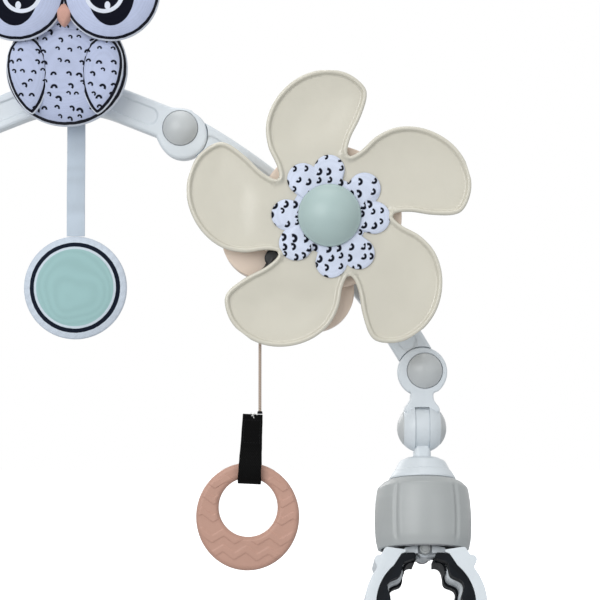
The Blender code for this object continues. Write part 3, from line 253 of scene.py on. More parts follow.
def facing(place, way):
    """A matrix at a place whose Z points towards the viewer, away, right or left."""
    angle, axis = {"front": (90, "X"), "back": (-90, "X"), "right": (90, "Y"),
                   "left": (-90, "Y")}[way]
    return Matrix.Translation(place) @ Matrix.Rotation(math.radians(angle), 4, axis)


def fillet(points, radius, steps=4, closed=False):
    """A polyline whose corners are rounded. Radius is one number, or one for each point."""
    count = len(points)
    result = []
    for k, point in enumerate(points):
        size = radius[k] if isinstance(radius, (list, tuple)) else radius
        here = Vector(point)
        before, after = Vector(points[k - 1]) - here, Vector(points[(k + 1) % count]) - here
        straight = (size <= 0 or (not closed and k in (0, count - 1))
                    or min(before.length, after.length) < 1e-7
                    or before.angle(after) > math.radians(176))
        if straight:
            result.append(tuple(point))
            continue
        reach = size / math.tan(before.angle(after) / 2)
        reach = min(reach, before.length * 0.48, after.length * 0.48)
        start, end = here + before.normalized() * reach, here + after.normalized() * reach
        for i in range(steps + 1):
            t = i / steps
            result.append(tuple(start * (1 - t) ** 2 + here * 2 * t * (1 - t) + end * t * t))
    return result


def rounded_oblong(half_wide, half_high, radius, steps):
    corners = [(-half_wide, -half_high), (half_wide, -half_high), (half_wide, half_high),
               (-half_wide, half_high)]
    return fillet(corners, radius, steps, closed=True)


def arc(centre, radius, start, end, count):
    angles = [math.radians(start + (end - start) * i / (count - 1)) for i in range(count)]
    return [(centre[0] + radius * math.cos(angle), centre[1] + radius * math.sin(angle))
            for angle in angles]


def spline_point(p, t):
    """A place between the middle two of four points."""
    return (p[1] * 2 + (p[2] - p[0]) * t + (p[0] * 2 - p[1] * 5 + p[2] * 4 - p[3]) * t**2
            + (p[1] * 3 - p[0] - p[2] * 3 + p[3]) * t**3) / 2


def closed_curve(points, per_span):
    """A smooth closed curve through points."""
    count = len(points)
    result = []
    for k in range(count):
        near = [Vector(points[(k + i - 1) % count]) for i in range(4)]
        result += [tuple(spline_point(near, i / per_span)) for i in range(per_span)]
    return result


def smooth_path(points, per_span=8):
    """A smooth open line through points in space."""
    places = [Vector(point) for point in points]
    places = [places[0] * 2 - places[1]] + places + [places[-1] * 2 - places[-2]]
    result = []
    for k in range(1, len(places) - 2):
        near = places[k - 1 : k + 3]
        result += [spline_point(near, i / per_span) for i in range(per_span)]
    return result + [places[-2]]


def lathe(name, profile, matrix, steps=96, ring=False, sharp=35):
    """A turned piece from (radius, height) pairs. Its axis is the matrix's Z."""
    turns = [(math.cos(math.tau * k / steps), math.sin(math.tau * k / steps))
             for k in range(steps)]
    rows = [[matrix @ Vector((radius * x, radius * y, height)) for x, y in turns]
            for radius, height in profile]
    return grid_piece(name, rows, around=True, closed=ring, sharp=sharp)


def drum(name, place, radius, low, high):
    """A plain round cutter from front to back, between two depths."""
    return lathe(name, [(0, high), (radius, high), (radius, low), (0, low)], facing(place, "back"))


def box_piece(name, low, high, matrix):
    rows = [[(low[0], low[1], z), (high[0], low[1], z), (high[0], high[1], z),
             (low[0], high[1], z)] for z in (low[2], high[2])]
    made = grid_piece(name, rows, around=True, caps=True, smooth=False)
    made.data.transform(matrix)
    return made


def dome(radius, height, seat, count=14, lip=0.0007):
    """A pressed cap's profile from its crown down: shallow dome, soft shoulder, small rim."""
    sphere = (radius**2 + height**2) / (2 * height)
    reach = math.asin((radius - lip) / sphere)
    points = []
    for k in range(count):
        angle = reach * k / (count - 1)
        points.append((sphere * math.sin(angle), height - sphere * (1 - math.cos(angle))))
    low = points[-1][1]
    points += [(radius - lip * 0.35, low - lip * 0.45), (radius, low - lip * 1.4), (radius, -seat)]
    return points + [(0, -seat)]


def baked_mesh(made):
    bpy.context.view_layer.update()
    seen = made.evaluated_get(bpy.context.evaluated_depsgraph_get())
    return bpy.data.meshes.new_from_object(seen)


def settle(made):
    """Applies an object's modifiers."""
    mesh = baked_mesh(made)
    made.modifiers.clear()
    made.data = mesh


def traced(name, points, **settings):
    """The mesh that a curve along points makes."""
    curve = bpy.data.curves.new(name, "CURVE")
    cyclic = settings.pop("cyclic", False)
    for setting, value in settings.items():
        setattr(curve, setting, value)
    spline = curve.splines.new("POLY")
    spline.points.add(len(points) - 1)
    for point, place in zip(spline.points, points):
        point.co = (*place, 1)
    spline.use_cyclic_u = cyclic
    guide = put_in_scene(name, curve)
    mesh = baked_mesh(guide)
    bpy.data.objects.remove(guide)
    return put_in_scene(name, mesh)


def wire(name, points, radius, resolution=4):
    """A round wire or cord through points."""
    made = traced(name, points, dimensions="3D", bevel_depth=radius, bevel_resolution=resolution,
                  use_fill_caps=True)
    tidy_normals(made)
    return made


def slab(name, outline, front, back, rounding, matrix=None, steps=4):
    """A plate of an outline in the arch's plane, its edges rounded."""
    made = traced(name, [(x, z, 0) for x, z in outline], dimensions="2D", fill_mode="BOTH",
                  extrude=(back - front) / 2, cyclic=True)
    with editing(made.data) as shape:
        bmesh.ops.remove_doubles(shape, verts=shape.verts, dist=0.00001)
        bmesh.ops.dissolve_limit(
            shape, angle_limit=math.radians(1), verts=shape.verts, edges=shape.edges
        )
    if rounding:
        bevel = made.modifiers.new("rounding", "BEVEL")
        bevel.width = rounding
        bevel.segments = steps
        bevel.limit_method = "ANGLE"
        bevel.angle_limit = math.radians(40)
        bevel.use_clamp_overlap = True
        settle(made)
    place = Matrix.Translation((0, ARCH_Y, 0)) if matrix is None else matrix
    made.data.transform(place @ facing((0, (front + back) / 2, 0), "front"))
    tidy_normals(made)
    return made


def change(target, others, operation="DIFFERENCE"):
    """Booleans with other objects, which are used up."""
    for other in others:
        modifier = target.modifiers.new("change", "BOOLEAN")
        modifier.operation = operation
        modifier.solver = "EXACT"
        modifier.object = other
    settle(target)
    for other in others:
        bpy.data.objects.remove(other)
    tidy_normals(target)
    return target


def joined(name, *others):
    """Several objects as one, their meshes kept as they are."""
    mesh = bpy.data.meshes.new(name)
    with editing(mesh) as shape:
        for other in others:
            shape.from_mesh(other.data)
            bpy.data.objects.remove(other)
    made = put_in_scene(name, mesh)
    smoothed(made)
    return made


def dress(made, body, slot, paint, *nodes):
    made.data.materials.clear()
    made.data.materials.append(paint)
    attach(made, body)
    if nodes:
        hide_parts(*nodes)
    return made


def smooth_max(a, b, blend):
    return max(a, b) + max(blend - abs(a - b), 0) ** 2 / (4 * blend)


def smooth_step(value, low, high):
    share = min(max((value - low) / (high - low), 0), 1)
    return share * share * (3 - 2 * share)


def distance_to(outline, points, closed=True):
    """Distances of points to an outline, and which side: positive inside a closed one."""
    edge = np.array(outline, float)
    after = np.roll(edge, -1, axis=0)
    if not closed:
        edge, after = edge[:-1], after[:-1]
    found = np.array(points, float)[:, None, :]
    along = after - edge
    share = ((found - edge) * along).sum(-1) / np.maximum((along**2).sum(-1), 1e-18)
    nearest = edge + np.clip(share, 0, 1)[..., None] * along
    distance = np.sqrt(((found - nearest) ** 2).sum(-1)).min(1)
    if not closed:
        return distance
    x, z = found[:, 0, 0][:, None], found[:, 0, 1][:, None]
    spans = (edge[:, 1] > z) != (after[:, 1] > z)
    rise = np.where(along[:, 1] == 0, 1e-18, along[:, 1])
    crossing = along[:, 0] * (z - edge[:, 1]) / rise + edge[:, 0]
    inside = (spans & (x < crossing)).sum(1) % 2 == 1
    return np.where(inside, distance, -distance)


# Materials, all procedural, in the frame of the piece at rest

class Paint:
    """One material, with short calls for building its nodes."""

    def __init__(self, name, colour, roughness, plain=()):
        self.made = bpy.data.materials.new(name)
        self.made.use_nodes = True
        self.tree = self.made.node_tree
        self.base = self.tree.nodes["Principled BSDF"]
        self.place = self.new("TexCoord").outputs["Object"]
        self.fill(self.base, {"Base Color": colour, "Roughness": roughness, **dict(plain)})

    def put(self, target, value):
        if isinstance(value, bpy.types.NodeSocket):
            self.tree.links.new(value, target)
        else:
            target.default_value = value

    def fill(self, node, sockets):
        for socket, value in dict(sockets).items():
            self.put(node.inputs[socket], value)

    def new(self, kind, sockets=(), **settings):
        """A node with its settings made and its sockets filled."""
        node = self.tree.nodes.new("ShaderNode" + kind)
        for setting, value in settings.items():
            setattr(node, setting, value)
        self.fill(node, sockets)
        return node

    def math(self, operation, *values):
        return self.new("Math", enumerate(values), operation=operation).outputs[0]

    def vector(self, operation, *values):
        node = self.new("VectorMath", enumerate(values), operation=operation)
        return node.outputs["Value" if operation in ("LENGTH", "DISTANCE") else "Vector"]

    def split(self, vector):
        return tuple(self.new("SeparateXYZ", {0: vector}).outputs)

    def noise(self, scale, detail):
        sockets = {"Vector": self.place, "Scale": scale, "Detail": detail}
        return self.new("TexNoise", sockets).outputs["Fac"]

    def ramp(self, value, low, high, start=0.0, end=1.0):
        sockets = {"Value": value, "From Min": low, "From Max": high, "To Min": start,
                   "To Max": end}
        return self.new("MapRange", sockets, interpolation_type="SMOOTHSTEP").outputs["Result"]

    def stripes(self, value, period):
        return self.math("SINE", self.math("MULTIPLY", value, math.tau / period))

    def mix(self, share, first, second, blend="MIX"):
        sockets = {0: share, 6: first, 7: second}
        return self.new("Mix", sockets, data_type="RGBA", blend_type=blend).outputs[2]

    def bump(self, height, strength, distance, under=None):
        sockets = {"Height": height, "Strength": strength, "Distance": distance}
        if under:
            sockets["Normal"] = under
        return self.new("Bump", sockets).outputs["Normal"]

    def worn(self, share):
        """Where an edge sticks out, from the mesh's pointiness."""
        found = self.new("NewGeometry").outputs["Pointiness"]
        return self.math("MULTIPLY", self.ramp(found, 0.515, 0.6), share)

    def finish(self, colour=None, roughness=None, normal=None):
        for name, value in (("Base Color", colour), ("Roughness", roughness), ("Normal", normal)):
            if value is not None:
                self.put(self.base.inputs[name], value)
        return self.made


def shade(colour, factor):
    return (*[min(value * factor, 1.0) for value in colour[:3]], 1.0)


def plastic(name, colour, roughness, spread=0.06, grain=0.12, coat=0.0, worn=1.06):
    """Moulded plastic: flow variation, fine grain, rubbed edges."""
    plain = {"Coat Weight": coat, "Coat Roughness": 0.12} if coat else {}
    n = Paint(name, colour, roughness, plain)
    tint = n.mix(n.ramp(n.noise(38, 4), 0.3, 0.7), shade(colour, 0.965), shade(colour, 1.02))
    tint = n.mix(n.worn(0.6), tint, shade(colour, worn))
    rough = n.math("MULTIPLY_ADD", n.noise(120, 5), spread * 2, roughness - spread)
    fine = n.bump(n.noise(2600, 2), grain, 0.00002)
    return n.finish(tint, rough, n.bump(n.noise(90, 2), 0.06, 0.0002, fine))


def brushed_metal(name, colour, roughness):
    n = Paint(name, colour, roughness, {"Metallic": 1.0})
    rough = n.math("MULTIPLY_ADD", n.noise(600, 4), 0.2, roughness - 0.1)
    return n.finish(None, rough, n.bump(n.noise(1800, 3), 0.2, 0.00003))


def rubber(name, colour, roughness):
    n = Paint(name, colour, roughness, {"Specular IOR Level": 0.1})
    tint = n.mix(n.ramp(n.noise(70, 4), 0.35, 0.7), colour, shade(colour, 1.5))
    tint = n.mix(n.worn(0.5), tint, shade(colour, 2.6))
    rough = n.math("MULTIPLY_ADD", n.noise(260, 4), 0.16, roughness - 0.08)
    return n.finish(tint, rough, n.bump(n.noise(1500, 3), 0.35, 0.00004))


def weave(n, size):
    """The height of a plain weave."""
    across, deep, up = [n.stripes(value, size) for value in n.split(n.place)]
    return n.math("ADD", n.math("MULTIPLY", across, up), n.math("MULTIPLY", deep, 0.35))


def crescents(n, scale, mark, thin, turn):
    """Small open arcs scattered over the cloth, 1 on a mark and 0 between them."""
    across, _, up = n.split(n.place)
    flat = n.new("CombineXYZ", {"X": across, "Y": up}).outputs[0]
    cells = n.new("TexVoronoi", voronoi_dimensions="2D", feature="F1")
    n.fill(cells, {"Vector": flat, "Scale": scale, "Randomness": 0.62})
    away = n.vector("SUBTRACT", flat, cells.outputs["Position"])
    chance = n.new("SeparateColor", {0: cells.outputs["Color"]}).outputs
    angle = n.math("ADD", chance[0], turn - 0.5)
    turned = n.new("VectorRotate", {"Vector": away, "Angle": angle}, rotation_type="Z_AXIS")
    turned = turned.outputs[0]
    size = n.math("MULTIPLY_ADD", chance[1], 0.55, 0.95)
    outer = n.math("MULTIPLY", n.vector("LENGTH", turned), size)
    ring = n.math("ABSOLUTE", n.math("SUBTRACT", outer, mark))
    soft = thin * 0.18
    line = n.ramp(ring, thin / 2 - soft, thin / 2 + soft, 1.0, 0.0)
    return n.math("MULTIPLY", line, n.ramp(n.split(turned)[0], -mark * 0.35, -mark * 0.1))


def cloth(name, colour, size=0.0005, marks=None, prints=(), rim=None):
    """Woven cloth with a soft sheen. Marks, ellipses and an outline along the rim are printed."""
    n = Paint(name, colour, 0.92, {"Sheen Weight": 0.12, "Sheen Roughness": 0.5,
                                   "Specular IOR Level": 0.1})
    threads = weave(n, size)
    tint = n.mix(n.ramp(n.noise(45, 4), 0.3, 0.75), shade(colour, 0.93), shade(colour, 1.03))
    if marks:
        *form, ink = marks
        tint = n.mix(crescents(n, *form), tint, ink)
    for centre, radii, shown in prints:
        off = n.vector("SUBTRACT", n.place, centre)
        scaled = n.vector("MULTIPLY", off, (1 / radii[0], 0, 1 / radii[1]))
        far = n.math("MULTIPLY_ADD", n.noise(420, 3), 0.012, n.vector("LENGTH", scaled))
        soft = 0.0001 / min(radii)
        tint = n.mix(n.ramp(far, 1.006 - soft, 1.006 + soft, 1.0, 0.0), tint, shown)
    if rim:
        margin, line, edge_colour, ink = rim
        found = n.new("Attribute", attribute_name="rim").outputs["Fac"]
        far = n.math("MULTIPLY_ADD", n.noise(260, 3), 0.0005, found)
        tint = n.mix(n.ramp(far, margin + line, margin + line + 0.0002), ink, tint)
        tint = n.mix(n.ramp(far, margin, margin + 0.0002), edge_colour, tint)
    # Darker where the weave's threads sink: painted shade in its hollows.
    tint = n.mix(1.0, tint, n.ramp(threads, -0.9, 0.4, 0.86, 1.0), "MULTIPLY")
    folds = n.bump(n.noise(60, 3), 0.25, 0.0006)
    return n.finish(tint, n.ramp(threads, -1, 1, 0.96, 0.8),
                    n.bump(threads, 0.35, 0.00008, folds))


def webbing(name, colour):
    n = Paint(name, colour, 0.9, {"Specular IOR Level": 0.08})
    across, _, up = n.split(n.place)
    ribs = n.stripes(n.math("ADD", across, n.math("MULTIPLY", up, 0.7)), 0.0011)
    threads = n.math("ADD", ribs, n.math("MULTIPLY", n.stripes(up, 0.0007), 0.6))
    # The raised ribs are painted lighter and the hollows darker: painted highlight and painted
    # shade on the weave.
    tint = n.mix(n.ramp(threads, -1.2, 1.4), shade(colour, 0.5), shade(colour, 1.8))
    return n.finish(tint, None, n.bump(threads, 0.7, 0.00016))


CORD_EXIT = (0.105001, 0.176352)
CORD_Y = -0.0267


def cord_paint(name, colour):
    """Twisted plies about the cord's axis."""
    n = Paint(name, colour, 0.85, {"Sheen Weight": 0.3})
    across, deep, up = n.split(n.place)
    turned = n.math("ARCTAN2", n.math("SUBTRACT", deep, ARCH_Y + CORD_Y),
                    n.math("SUBTRACT", across, CORD_EXIT[0]))
    twist = n.math("MULTIPLY_ADD", up, math.tau / 0.0026, turned)
    plies = n.math("SINE", n.math("MULTIPLY", twist, 2.0))
    # Darker in the grooves between the plies and lighter on their crowns: painted shade and
    # painted highlight.
    tint = n.mix(n.ramp(plies, -1, 0.6), shade(colour, 0.45), shade(colour, 1.15))
    return n.finish(tint, None, n.bump(plies, 0.8, 0.0002))


WHITE = plastic("white_plastic", srgb(214, 221, 226), 0.34)
GREY = plastic("grey_plastic", srgb(168, 172, 172), 0.36, worn=1.1)
# The pivot caps' grey is a lighter copy of the knob's grey plastic: painted light that brightens
# the caps.
GREY_LIT_COPY = plastic("grey_plastic_lit_copy", srgb(190, 194, 195), 0.34)
RUBBER = rubber("black_rubber", srgb(15, 18, 22), 0.6)
STEEL = brushed_metal("steel", srgb(180, 180, 184), 0.32)
CREAM = plastic("cream_plastic", srgb(206, 202, 188), 0.24, 0.04, 0.06, coat=0.25)
MINT = plastic("mint_plastic", srgb(168, 188, 186), 0.42)
CASING = plastic("casing_plastic", srgb(222, 204, 188), 0.42)
INK = srgb(8, 11, 26)
LAVENDER = srgb(190, 199, 226)
PALE = srgb(222, 228, 240)
OUTLINE = (0.0007, 0.0014, PALE, INK)
CLOTH = cloth("printed_cloth", srgb(216, 224, 242), marks=(172, 0.0016, 0.0017, 0.2, INK))
CLOTH_SMALL = cloth("outlined_cloth", LAVENDER, marks=(165, 0.0013, 0.0013, -1.2, INK),
                    rim=OUTLINE)
PLAIN_CLOTH = cloth("white_cloth", srgb(206, 216, 234))
BEAK_CLOTH = cloth("pink_cloth", srgb(205, 160, 146))
RIBBON = cloth("ribbon", srgb(198, 210, 222), 0.0004)
THREAD = cloth("white_thread", srgb(226, 226, 222), 0.0002)
SEAM = cloth("black_thread", srgb(26, 26, 28), 0.0002)
GUIDE_PAINT = plastic("guide_plastic", srgb(15, 16, 18), 0.5)
WEBBING = webbing("black_webbing", srgb(12, 12, 12))
CORD = cord_paint("cord", srgb(196, 176, 160))
SILICONE = plastic("pink_silicone", srgb(188, 147, 130), 0.5, 0.05, 0.16)


# Arch: arms, bridge, links

EDGE_OFFSETS = (0, 0.0001, 0.00035, 0.0007, 0.0011, 0.0016, 0.0021)
PANEL_HALF = 0.0051
PANEL_DEPTH = 0.0011
PANEL_MARGIN = 0.0185
ACROSS_PANEL = [PANEL_HALF + 0.00045 - k * 0.00025 for k in range(8)] + [0.0026, 0.0013]
STATION_STEP = 0.0016
FINE_STEP = 0.0004
BACK_ROUNDING = 0.0012
BOSS = 0.0133
BOSS_RISE = 0.0006
POCKET = 0.0099
POCKET_DEPTH = 0.001
CHEEK = 0.0099
BARREL = 0.0134
SLOT_HALF = 0.004
SLOT_TOP = 0.0114

# Pivot caps: radius, height of the dome, depth of the seat
FRONT_CAP = (0.0096, 0.0046, 0.0008)
BACK_CAP = (0.0078, 0.0024, 0.0018)
SWIVEL_CAP = (0.0089, 0.0033, 0.0)


def arm_point(share, side):
    """A place on an arm's middle line, and the line's direction there."""
    radius = ARM_CHORD / (2 * math.sin(ARM_BEND))
    angle = ARM_BEND * (2 * share - 1)
    along = ARM_CHORD / 2 + radius * math.sin(angle)
    out = radius * (math.cos(angle) - math.cos(ARM_BEND))
    cosine, sine = math.cos(CHORD_ANGLE), math.sin(CHORD_ANGLE)
    x = SHOULDER[0] + cosine * along + sine * out
    z = SHOULDER[1] - sine * along + cosine * out
    heading = -CHORD_ANGLE - angle
    return (side * x, z), (side * math.cos(heading), math.sin(heading))


def bridge_point(across):
    """The height and slope of the bridge's middle line."""
    if abs(across) < BEND_HALF:
        drop = BEND_RADIUS - math.sqrt(BEND_RADIUS**2 - across**2)
        slope = -math.asin(across / BEND_RADIUS)
    else:
        drop = BEND_RISE + (abs(across) - BEND_HALF) * math.tan(SLOPE)
        slope = -math.copysign(SLOPE, across)
    return APEX_Z - drop, slope


def off_bridge(across, off):
    """A place square off the bridge's middle line."""
    height, slope = bridge_point(across)
    return across - math.sin(slope) * off, height + math.cos(slope) * off


def edge_drop(distance, radius=0.0018):
    """How far a face falls back towards its rounded edge."""
    if distance >= radius:
        return 0.0
    return radius - math.sqrt(max(radius**2 - (radius - distance) ** 2, 0))


def panel_drop(inside):
    """Depth of a sunk panel from how far inside its outline a point is."""
    return PANEL_DEPTH * smooth_step(inside, -0.00025, 0.00095)


def ribbon_solid(name, stations):
    """A solid from stations, each a list of (x, z, front drop, edge distance) across a band."""
    rows = []
    for station in stations:
        front = [arch(x, -HALF + drop, z) for x, z, drop, _ in station]
        back = [arch(x, HALF - edge_drop(d, BACK_ROUNDING), z) for x, z, _, d in station]
        rows.append(front + back[::-1])
    return grid_piece(name, rows, around=True, caps=True)


def make_arm(name, side):
    length = ARM_BEND * ARM_CHORD / math.sin(ARM_BEND)
    low, high = PANEL_MARGIN, length - PANEL_MARGIN
    places = [k * STATION_STEP for k in range(int(length / STATION_STEP) + 1)] + [length]
    for k in range(16):
        near = PANEL_HALF + 0.0006 - k * FINE_STEP
        places += [low - near, high + near]
    offsets = [ARM_HALF - value for value in EDGE_OFFSETS] + [0.0065, 0.0059] + ACROSS_PANEL
    offsets += [0.0] + [-value for value in offsets[::-1]]
    stations = []
    for place in sorted(set(round(place, 6) for place in places)):
        (x, z), (along_x, along_z) = arm_point(place / length, side)
        past = max(low - place, place - high, 0)
        station = []
        for off in offsets:
            edge = ARM_HALF - abs(off)
            drop = edge_drop(edge) + panel_drop(PANEL_HALF - math.hypot(past, off))
            station.append((x - along_z * off, z + along_x * off, drop, edge))
        stations.append(station)
    arm = ribbon_solid(name, stations)
    top = HALF + BOSS_RISE
    profile = fillet([(0, top), (BOSS, top), (BOSS, GAP), (0, GAP)], [0, BOSS_RISE, 0, 0])
    for pin in (SHOULDER_PIN, ELBOW_PIN):
        place = arch(side * pin[0], 0, pin[1])
        change(arm, [lathe("boss", profile, facing(place, "back"))], "UNION")
        change(arm, [drum("lap", place, EYE + GAP, -HALF - OVERRUN, GAP / 2)])
    return arm


def knuckle_cutters(pin, cap, side):
    """Cutters for the lap that takes an arm's eye and for the seat of the front cap."""
    return [
        drum("lap", arch(side * pin[0], 0, pin[1]), EYE + 2 * GAP, -GAP / 2, HALF + OVERRUN),
        drum("pocket", arch(side * cap[0], 0, cap[1]), POCKET, -HALF - OVERRUN,
             -HALF + POCKET_DEPTH),
    ]


def make_bridge():
    """The middle link. Its ends are round eyes, a little off the line of their front caps."""
    cosine, sine = math.cos(SLOPE), math.sin(SLOPE)
    shift = (SHOULDER_PIN[0] - SHOULDER[0], SHOULDER_PIN[1] - SHOULDER[1])
    on = shift[0] * cosine - shift[1] * sine
    off = shift[0] * sine + shift[1] * cosine
    ends = [on - EYE * math.cos(math.radians(4) * k) for k in range(23)]
    ends += [on + EYE * math.sin(math.radians(4) * k) for k in range(1, 23)]
    ends += [on + EYE * 0.99985]
    round_eye = [SHOULDER[0] + end * cosine for end in ends]
    panel_end = SHOULDER[0] - PANEL_MARGIN * cosine
    fine = [panel_end + 0.0005 + k * FINE_STEP for k in range(-2, 13)]
    start = [0.0018 * k for k in range(1, int(round_eye[0] / 0.0018))]
    positive = sorted(set(round(v, 6) for v in start + fine + round_eye if v > 0.0005))
    places = [-v for v in positive[::-1]] + [0.0] + positive

    def widths(across):
        """How far the bridge reaches above and below its middle line."""
        past = (abs(across) - SHOULDER[0]) / cosine - on
        inside = math.sqrt(max(EYE**2 - past**2, 0))
        if past >= 0:
            return off + inside, inside - off
        if not inside:
            return BRIDGE_HALF, BRIDGE_HALF
        return [smooth_max(reach, BRIDGE_HALF, 0.006) for reach in (off + inside, inside - off)]

    outline = [off_bridge(across, widths(across)[0]) for across in places]
    outline += [off_bridge(across, -widths(across)[1]) for across in places[::-1]]
    centre = [(a, bridge_point(a)[0]) for a in np.linspace(-panel_end, panel_end, 60)]
    panel = ACROSS_PANEL + [0.0] + [-value for value in ACROSS_PANEL[::-1]]
    stations = []
    for across in places:
        above, below = widths(across)
        scale = min(1.0, (above + below) / 0.012)
        upper = [above - value * scale for value in EDGE_OFFSETS]
        lower = [-below + value * scale for value in EDGE_OFFSETS]
        top, low = upper[-1], lower[-1]
        squeeze = min(1.0, (top - low) / 0.0128)
        if squeeze < 1:
            middle = (top + low) / 2
            near_top, near_low = middle + (top - middle) * 0.9, middle + (low - middle) * 0.9
        else:
            middle = 0.0
            near_top, near_low = top * 0.35 + 0.0055 * 0.65, low * 0.35 - 0.0055 * 0.65
        inner = [middle + value * squeeze for value in panel]
        offsets = upper + [near_top] + inner + [near_low] + lower[::-1]
        stations.append([off_bridge(across, value) for value in offsets])
    flat = [point for station in stations for point in station]
    edges = np.maximum(distance_to(outline, flat), 0)
    along = distance_to(centre, flat, closed=False)
    drops = [edge_drop(edge, 0.0017) + panel_drop(PANEL_HALF - away)
             for edge, away in zip(edges, along)]
    facts = zip(drops, edges)
    rows = [[(*point, *next(facts)) for point in station] for station in stations]
    cutters = [cutter for _, side in SIDES
               for cutter in knuckle_cutters(SHOULDER_PIN, SHOULDER, side)]
    return change(ribbon_solid("bridge_shell", rows), cutters)


def make_link(name, side):
    """The elbow's knuckle, flaring into a round barrel that is slotted for the tongue."""
    neck, spread, drop = 0.00625, 0.0102, ELBOW[1] - SWIVEL[1]
    flank = [(neck, drop * 0.62), (neck, 0.0154), (spread * 0.94, 0.0111),
             (spread - 0.0004, 0.0086)]
    flank += [(-x, z) for x, z in flank[::-1]]
    top = arc(ELBOW_PIN, EYE, 232, -52, 72)
    sizes = [0.0] * len(top) + [0.006, 0.006, 0.004, 0, 0, 0.004, 0.006, 0.006]
    sizes[0] = sizes[len(top) - 1] = 0.003
    outline = top + [(SWIVEL[0] + x, SWIVEL[1] + z) for x, z in flank]
    outline = [(side * x, z) for x, z in fillet(outline, sizes, 6, closed=True)]
    link = slab(name, outline, -HALF, HALF, 0.0016, steps=5)
    place = arch(side * SWIVEL[0], 0, SWIVEL[1])
    barrel = [(0, CHEEK)]
    for k in range(25):
        across = CHEEK * (1 - k / 12)
        barrel.append((math.sqrt(BARREL**2 - across**2), across))
    barrel.append((0, -CHEEK))
    change(link, [lathe("cheeks", barrel, facing(place, "right"))], "UNION")
    slot = box_piece("slot", (-SLOT_HALF, -0.02, -0.02), (SLOT_HALF, 0.02, SLOT_TOP),
                     Matrix.Translation(place))
    return change(link, [slot, *knuckle_cutters(ELBOW_PIN, ELBOW, side)])


def make_cap(node, ending, body, at, size):
    cap = lathe(f"{node}_{ending}", dome(*size), at)
    # The caps take the lighter copy of the grey plastic, which is painted light.
    dress(cap, body, "grey_plastic", GREY_LIT_COPY, node)


def make_caps(name, side):
    link = f"{name}_link"
    for label, place, pin, body in (("shoulder", SHOULDER, SHOULDER_PIN, "bridge"),
                                    ("elbow", ELBOW, ELBOW_PIN, link)):
        at = facing(arch(side * place[0], -HALF - GAP, place[1]), "front")
        make_cap(f"{name}_{label}_cap", "front", body, at, FRONT_CAP)
        at = facing(arch(side * pin[0], HALF + 0.0027, pin[1]), "back")
        make_cap(f"{name}_{label}_back_cap", "shown", body, at, BACK_CAP)
    for label, out in (("swivel", side), ("swivel_inner", -side)):
        place = arch(side * SWIVEL[0] + out * 0.0102, 0, SWIVEL[1])
        at = facing(place, "right" if out > 0 else "left")
        make_cap(f"{name}_{label}_cap", "shown", link, at, SWIVEL_CAP)


def make_arch():
    dress(make_bridge(), "bridge", "white_plastic", WHITE, "bridge")
    for name, side in SIDES:
        for part, make in (("arm", make_arm), ("link", make_link)):
            made = make(f"{name}_{part}_shell", side)
            dress(made, f"{name}_{part}", "white_plastic", WHITE, f"{name}_{part}")
        make_caps(name, side)


# Clamps, each in its own tilted frame with the origin on the swivel's axis

GRIP_DROP = 0.0981
KNOB_TOP = -0.0292
KNOB_RIM = -0.067
KNOB_HEIGHT = KNOB_TOP - KNOB_RIM
KNOB_RADIUS = 0.0262
KNOB_STEPS = 288
PIN_Z = -0.0683
JAW_RADIUS = 0.0323
JAW_INNER = 0.0264
JAW_DEPTH = 0.021
GROOVES = (-37, 41.5, 138, 226)
TONGUE_RADIUS = 0.0118
TONGUE_HALF = 0.00397
POST_RADIUS = 0.0085
POST_END = -0.0585
THRUST_RADII = (0.0186, 0.0216)
THRUST_HEIGHT = 0.0028
LUG_Z = 0.0298
LUG_RADIUS = 0.0042
KNUCKLE_GAP = 0.0043
KNUCKLE_DEPTH = 0.0075
WALL_HALF = 0.0085
PAD_RADIUS = 0.0261
PAD_TOP = 77
WAVE_ANGLE = 35
JAW_PIN_RADIUS = 0.003
JAW_PIN_HALF = 0.01785
SPRING_RADIUS = 0.00395
SPRING_TURNS = 3.5
SPRING_STEPS = 140


def make_core(name, at):
    """The stepped collar and post, the tongue in the link's slot and the lug for the pin."""
    profile = [
        (0, -0.0132), (0.0049, -0.0132), (0.0049, -0.0166), (0.0092, -0.0170),
        (0.0126, -0.0187), (0.0152, -0.0238), (0.0161, -0.0244), (0.0181, -0.0279),
        (0.0181, -0.0289), (POST_RADIUS, -0.0289), (POST_RADIUS, POST_END), (0, POST_END),
    ]
    sizes = [0, 0, 0.0012, 0.002, 0.0018, 0.0005, 0.0005, 0.0005, 0.0003, 0, 0, 0]
    body = lathe("core_body", fillet(profile, sizes, 6), at)
    ball = [(0, TONGUE_HALF), (TONGUE_RADIUS, TONGUE_HALF), (TONGUE_RADIUS, -TONGUE_HALF),
            (0, -TONGUE_HALF)]
    ball = fillet(ball, [0, 0.0003, 0.0003, 0])
    tongue = lathe("tongue", ball, at @ facing((0, 0, 0), "right"))
    change(tongue, [box_piece("step", (-0.005, -0.02, 0.0088), (0.005, -0.0059, 0.0125), at)])
    rows = []
    for z, half in ((0.0, 0.0036), (-0.0085, 0.0036), (-0.0118, 0.0043), (-0.0164, 0.0049)):
        section = rounded_oblong(half, 0.0049, 0.0012 + max(-z - 0.0085, 0) * 0.35, 5)
        rows.append([at @ Vector((x, y, z)) for x, y in section])
    neck = grid_piece("neck", rows, around=True, caps=True)
    lug = box_piece("lug", (-0.0039, -0.004, PIN_Z - 0.0041), (0.0039, 0.004, -0.0565), at)
    core = joined(f"{name}_core_shell", body, tongue, neck, lug)
    dress(core, f"{name}_clamp", "white_plastic", WHITE, f"{name}_clamp_core")


